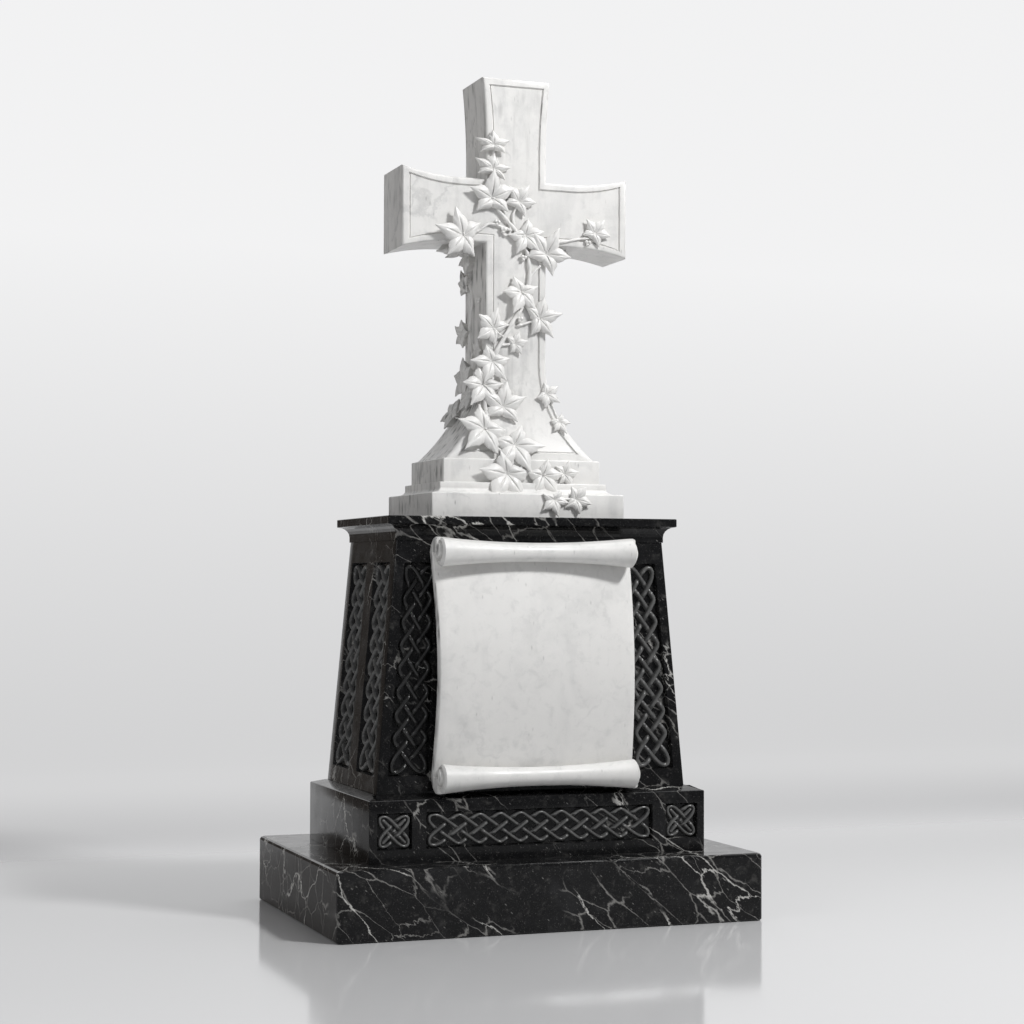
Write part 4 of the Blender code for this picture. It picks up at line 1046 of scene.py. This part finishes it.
def bud(shape, face, across, up):
    """Bud: three small balls that touch."""
    point, x_axis, y_axis, normal = face_frame(face, across, up)
    v = np.linspace(0.02, np.pi - 0.02, 9)[:, None]
    u = np.linspace(0, 2 * np.pi, 14, endpoint=False)
    ball = np.stack([np.sin(v) * np.cos(u), np.sin(v) * np.sin(u), np.cos(v) + 0 * u], axis=-1)
    for angle, radius in ((20, 0.0050), (140, 0.0046), (262, 0.0044)):
        turn = math.radians(angle)
        middle = point + 0.0046 * (math.cos(turn) * x_axis + math.sin(turn) * y_axis) + 0.004 * normal
        shape.grid(middle + ball * radius, around=True, ends=True)


def ivy(leaf_material, stem_material):
    """Leaves, and the stems, stalks and buds that carry them."""
    shape = Shape()
    for row in LEAVES:
        leaf(shape, *row)
    shape.piece("ivy_leaves", leaf_material, ["ivy_cross"], 50)
    shape = Shape()
    paths = []
    for face, radius, places in VINES:
        paths.append((face, vine(shape, face, radius, places)))
    stalks(shape, paths)
    for row in BUDS:
        bud(shape, *row)
    shape.piece("ivy_stems", stem_material, ["ivy_cross"], 50)


# Stage

def stage():
    """Pale floor that curves up as a quarter circle into a glowing backdrop of painted light, soft
    lamps, and a faint world.
    """
    material, n, shader, place = new_material("studio_backdrop_glow")
    axes = n.add("ShaderNodeSeparateXYZ", {0: place})
    far = n.span(axes.outputs[1], 0.6, 3.6)
    # Painted light: the far floor and backdrop glow, brighter towards the top like a lit backdrop.
    height = n.span(axes.outputs[2], 0.0, 2.6, smooth=False)
    # Painted dark surroundings: to the left the glow turns dark brown, for dark brown reflections in
    # the black marble.
    aside = n.span(axes.outputs[0], -1.75, -1.05)
    glow = n.mix(height, (0.61, 0.61, 0.615), (0.87, 0.87, 0.875))
    glow = n.mix(aside, (0.075, 0.062, 0.052), glow)
    n.tree.links.new(n.mix(far, (0.66, 0.66, 0.665), (0.02, 0.02, 0.02)), shader.inputs["Base Color"])
    n.tree.links.new(n.mix(far, (0.0, 0.0, 0.0), glow), shader.inputs["Emission Color"])
    n.tree.links.new(n.span(far, 0.0, 0.5, 0.10, 0.9), shader.inputs["Roughness"])
    shader.inputs["Emission Strength"].default_value = 1.0
    shader.inputs["Specular IOR Level"].default_value = 0.45
    x = np.array([-12.0, 12.0])
    turn = np.radians(np.linspace(0, 90, 16))
    y = np.concatenate([[-9.0], [0.6], 4.0 + 2.0 * np.sin(turn), [6.0]])
    z = np.concatenate([[0.0], [0.0], 2.0 - 2.0 * np.cos(turn), [9.0]])
    grid = np.stack(np.broadcast_arrays(x[None, :], y[:, None], z[:, None]), axis=-1)
    shape = Shape()
    shape.grid(grid)
    mesh = bpy.data.meshes.new("floor")
    mesh.from_pydata(np.concatenate(shape.points).tolist(), [], shape.faces)
    mesh.shade_smooth()
    mesh.materials.append(material)
    new_object("floor", mesh)

    lamps = [
        ("key", (2.4, -3.2, 4.6), 0.7, 236.0),
        ("fill", (-4.4, -2.2, 2.6), 2.2, 50.0),
        ("top", (1.3, 0.0, 4.8), 2.8, 52.0),
    ]
    for name, place, size, power in lamps:
        light = bpy.data.lights.new(name, "AREA")
        light.size = size
        light.energy = power
        lamp = new_object(name, light)
        lamp.location = place
        aim = Vector((0.0, 0.0, 1.0)) - Vector(place)
        lamp.rotation_euler = aim.to_track_quat("-Z", "Y").to_euler()

    world = bpy.data.worlds.new("studio")
    world.use_nodes = True
    sky = world.node_tree.nodes["Background"].inputs
    sky["Color"].default_value = (0.93, 0.95, 1.0, 1.0)
    sky["Strength"].default_value = 0.17
    bpy.context.scene.world = world
    bpy.context.scene.view_settings.view_transform = "Standard"


def camera():
    """Camera at the photograph's viewing angle."""
    yaw, pitch, tilt = np.radians(CAMERA_TURN)
    ahead = np.array([math.sin(yaw), math.cos(yaw), 0.0])
    right = np.array([math.cos(yaw), -math.sin(yaw), 0.0])
    forward = ahead * math.cos(pitch) + np.array([0, 0, math.sin(pitch)])
    up = np.cross(right, forward)
    place = -CAMERA_AWAY * ahead + CAMERA_ASIDE * right + np.array([0, 0, CAMERA_HEIGHT])
    turn = np.array([[math.cos(tilt), math.sin(tilt)], [-math.sin(tilt), math.cos(tilt)]])
    right, up = turn @ np.stack([right, up])
    lens = bpy.data.cameras.new("camera")
    lens.sensor_width = SENSOR_WIDTH
    lens.lens = SENSOR_WIDTH * FOCAL_PIXELS / PHOTO_PIXELS
    eye = new_object("camera", lens)
    axes = np.eye(4)
    axes[:3] = np.stack([right, up, -forward, place], axis=1)
    eye.matrix_world = Matrix(axes.tolist())
    bpy.context.scene.camera = eye


def main():
    """Materials, then every piece, the stage and the camera."""
    slab = black_marble("black_marble_slab", 0.60)
    step = black_marble("black_marble_step", 0.56)
    body = black_marble("black_marble_die", 0.57)
    cap = black_marble("black_marble_cap", 0.58)
    white = white_marble("white_marble_cross")
    scroll = white_marble("white_marble_scroll", 0.50, 0.03)
    leaves = white_marble("white_marble_leaves", 0.30, 0.04)
    stems = white_marble("white_marble_stems", 0.35, 0.10)
    for name, material in (("base_slab", slab), ("cornice_cap", cap)):
        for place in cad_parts[name].material_slots:
            place.material = material
    plinth_step(step, strand_marble("black_marble_strands"))
    # The die's strands take the painted shadow of the scroll in the left front panel.
    die(body, strand_marble("black_marble_die_strands", 0.90))
    scroll_tablet(scroll)
    cross_stone(white)
    ivy(leaves, stems)
    stage()
    camera()


main()
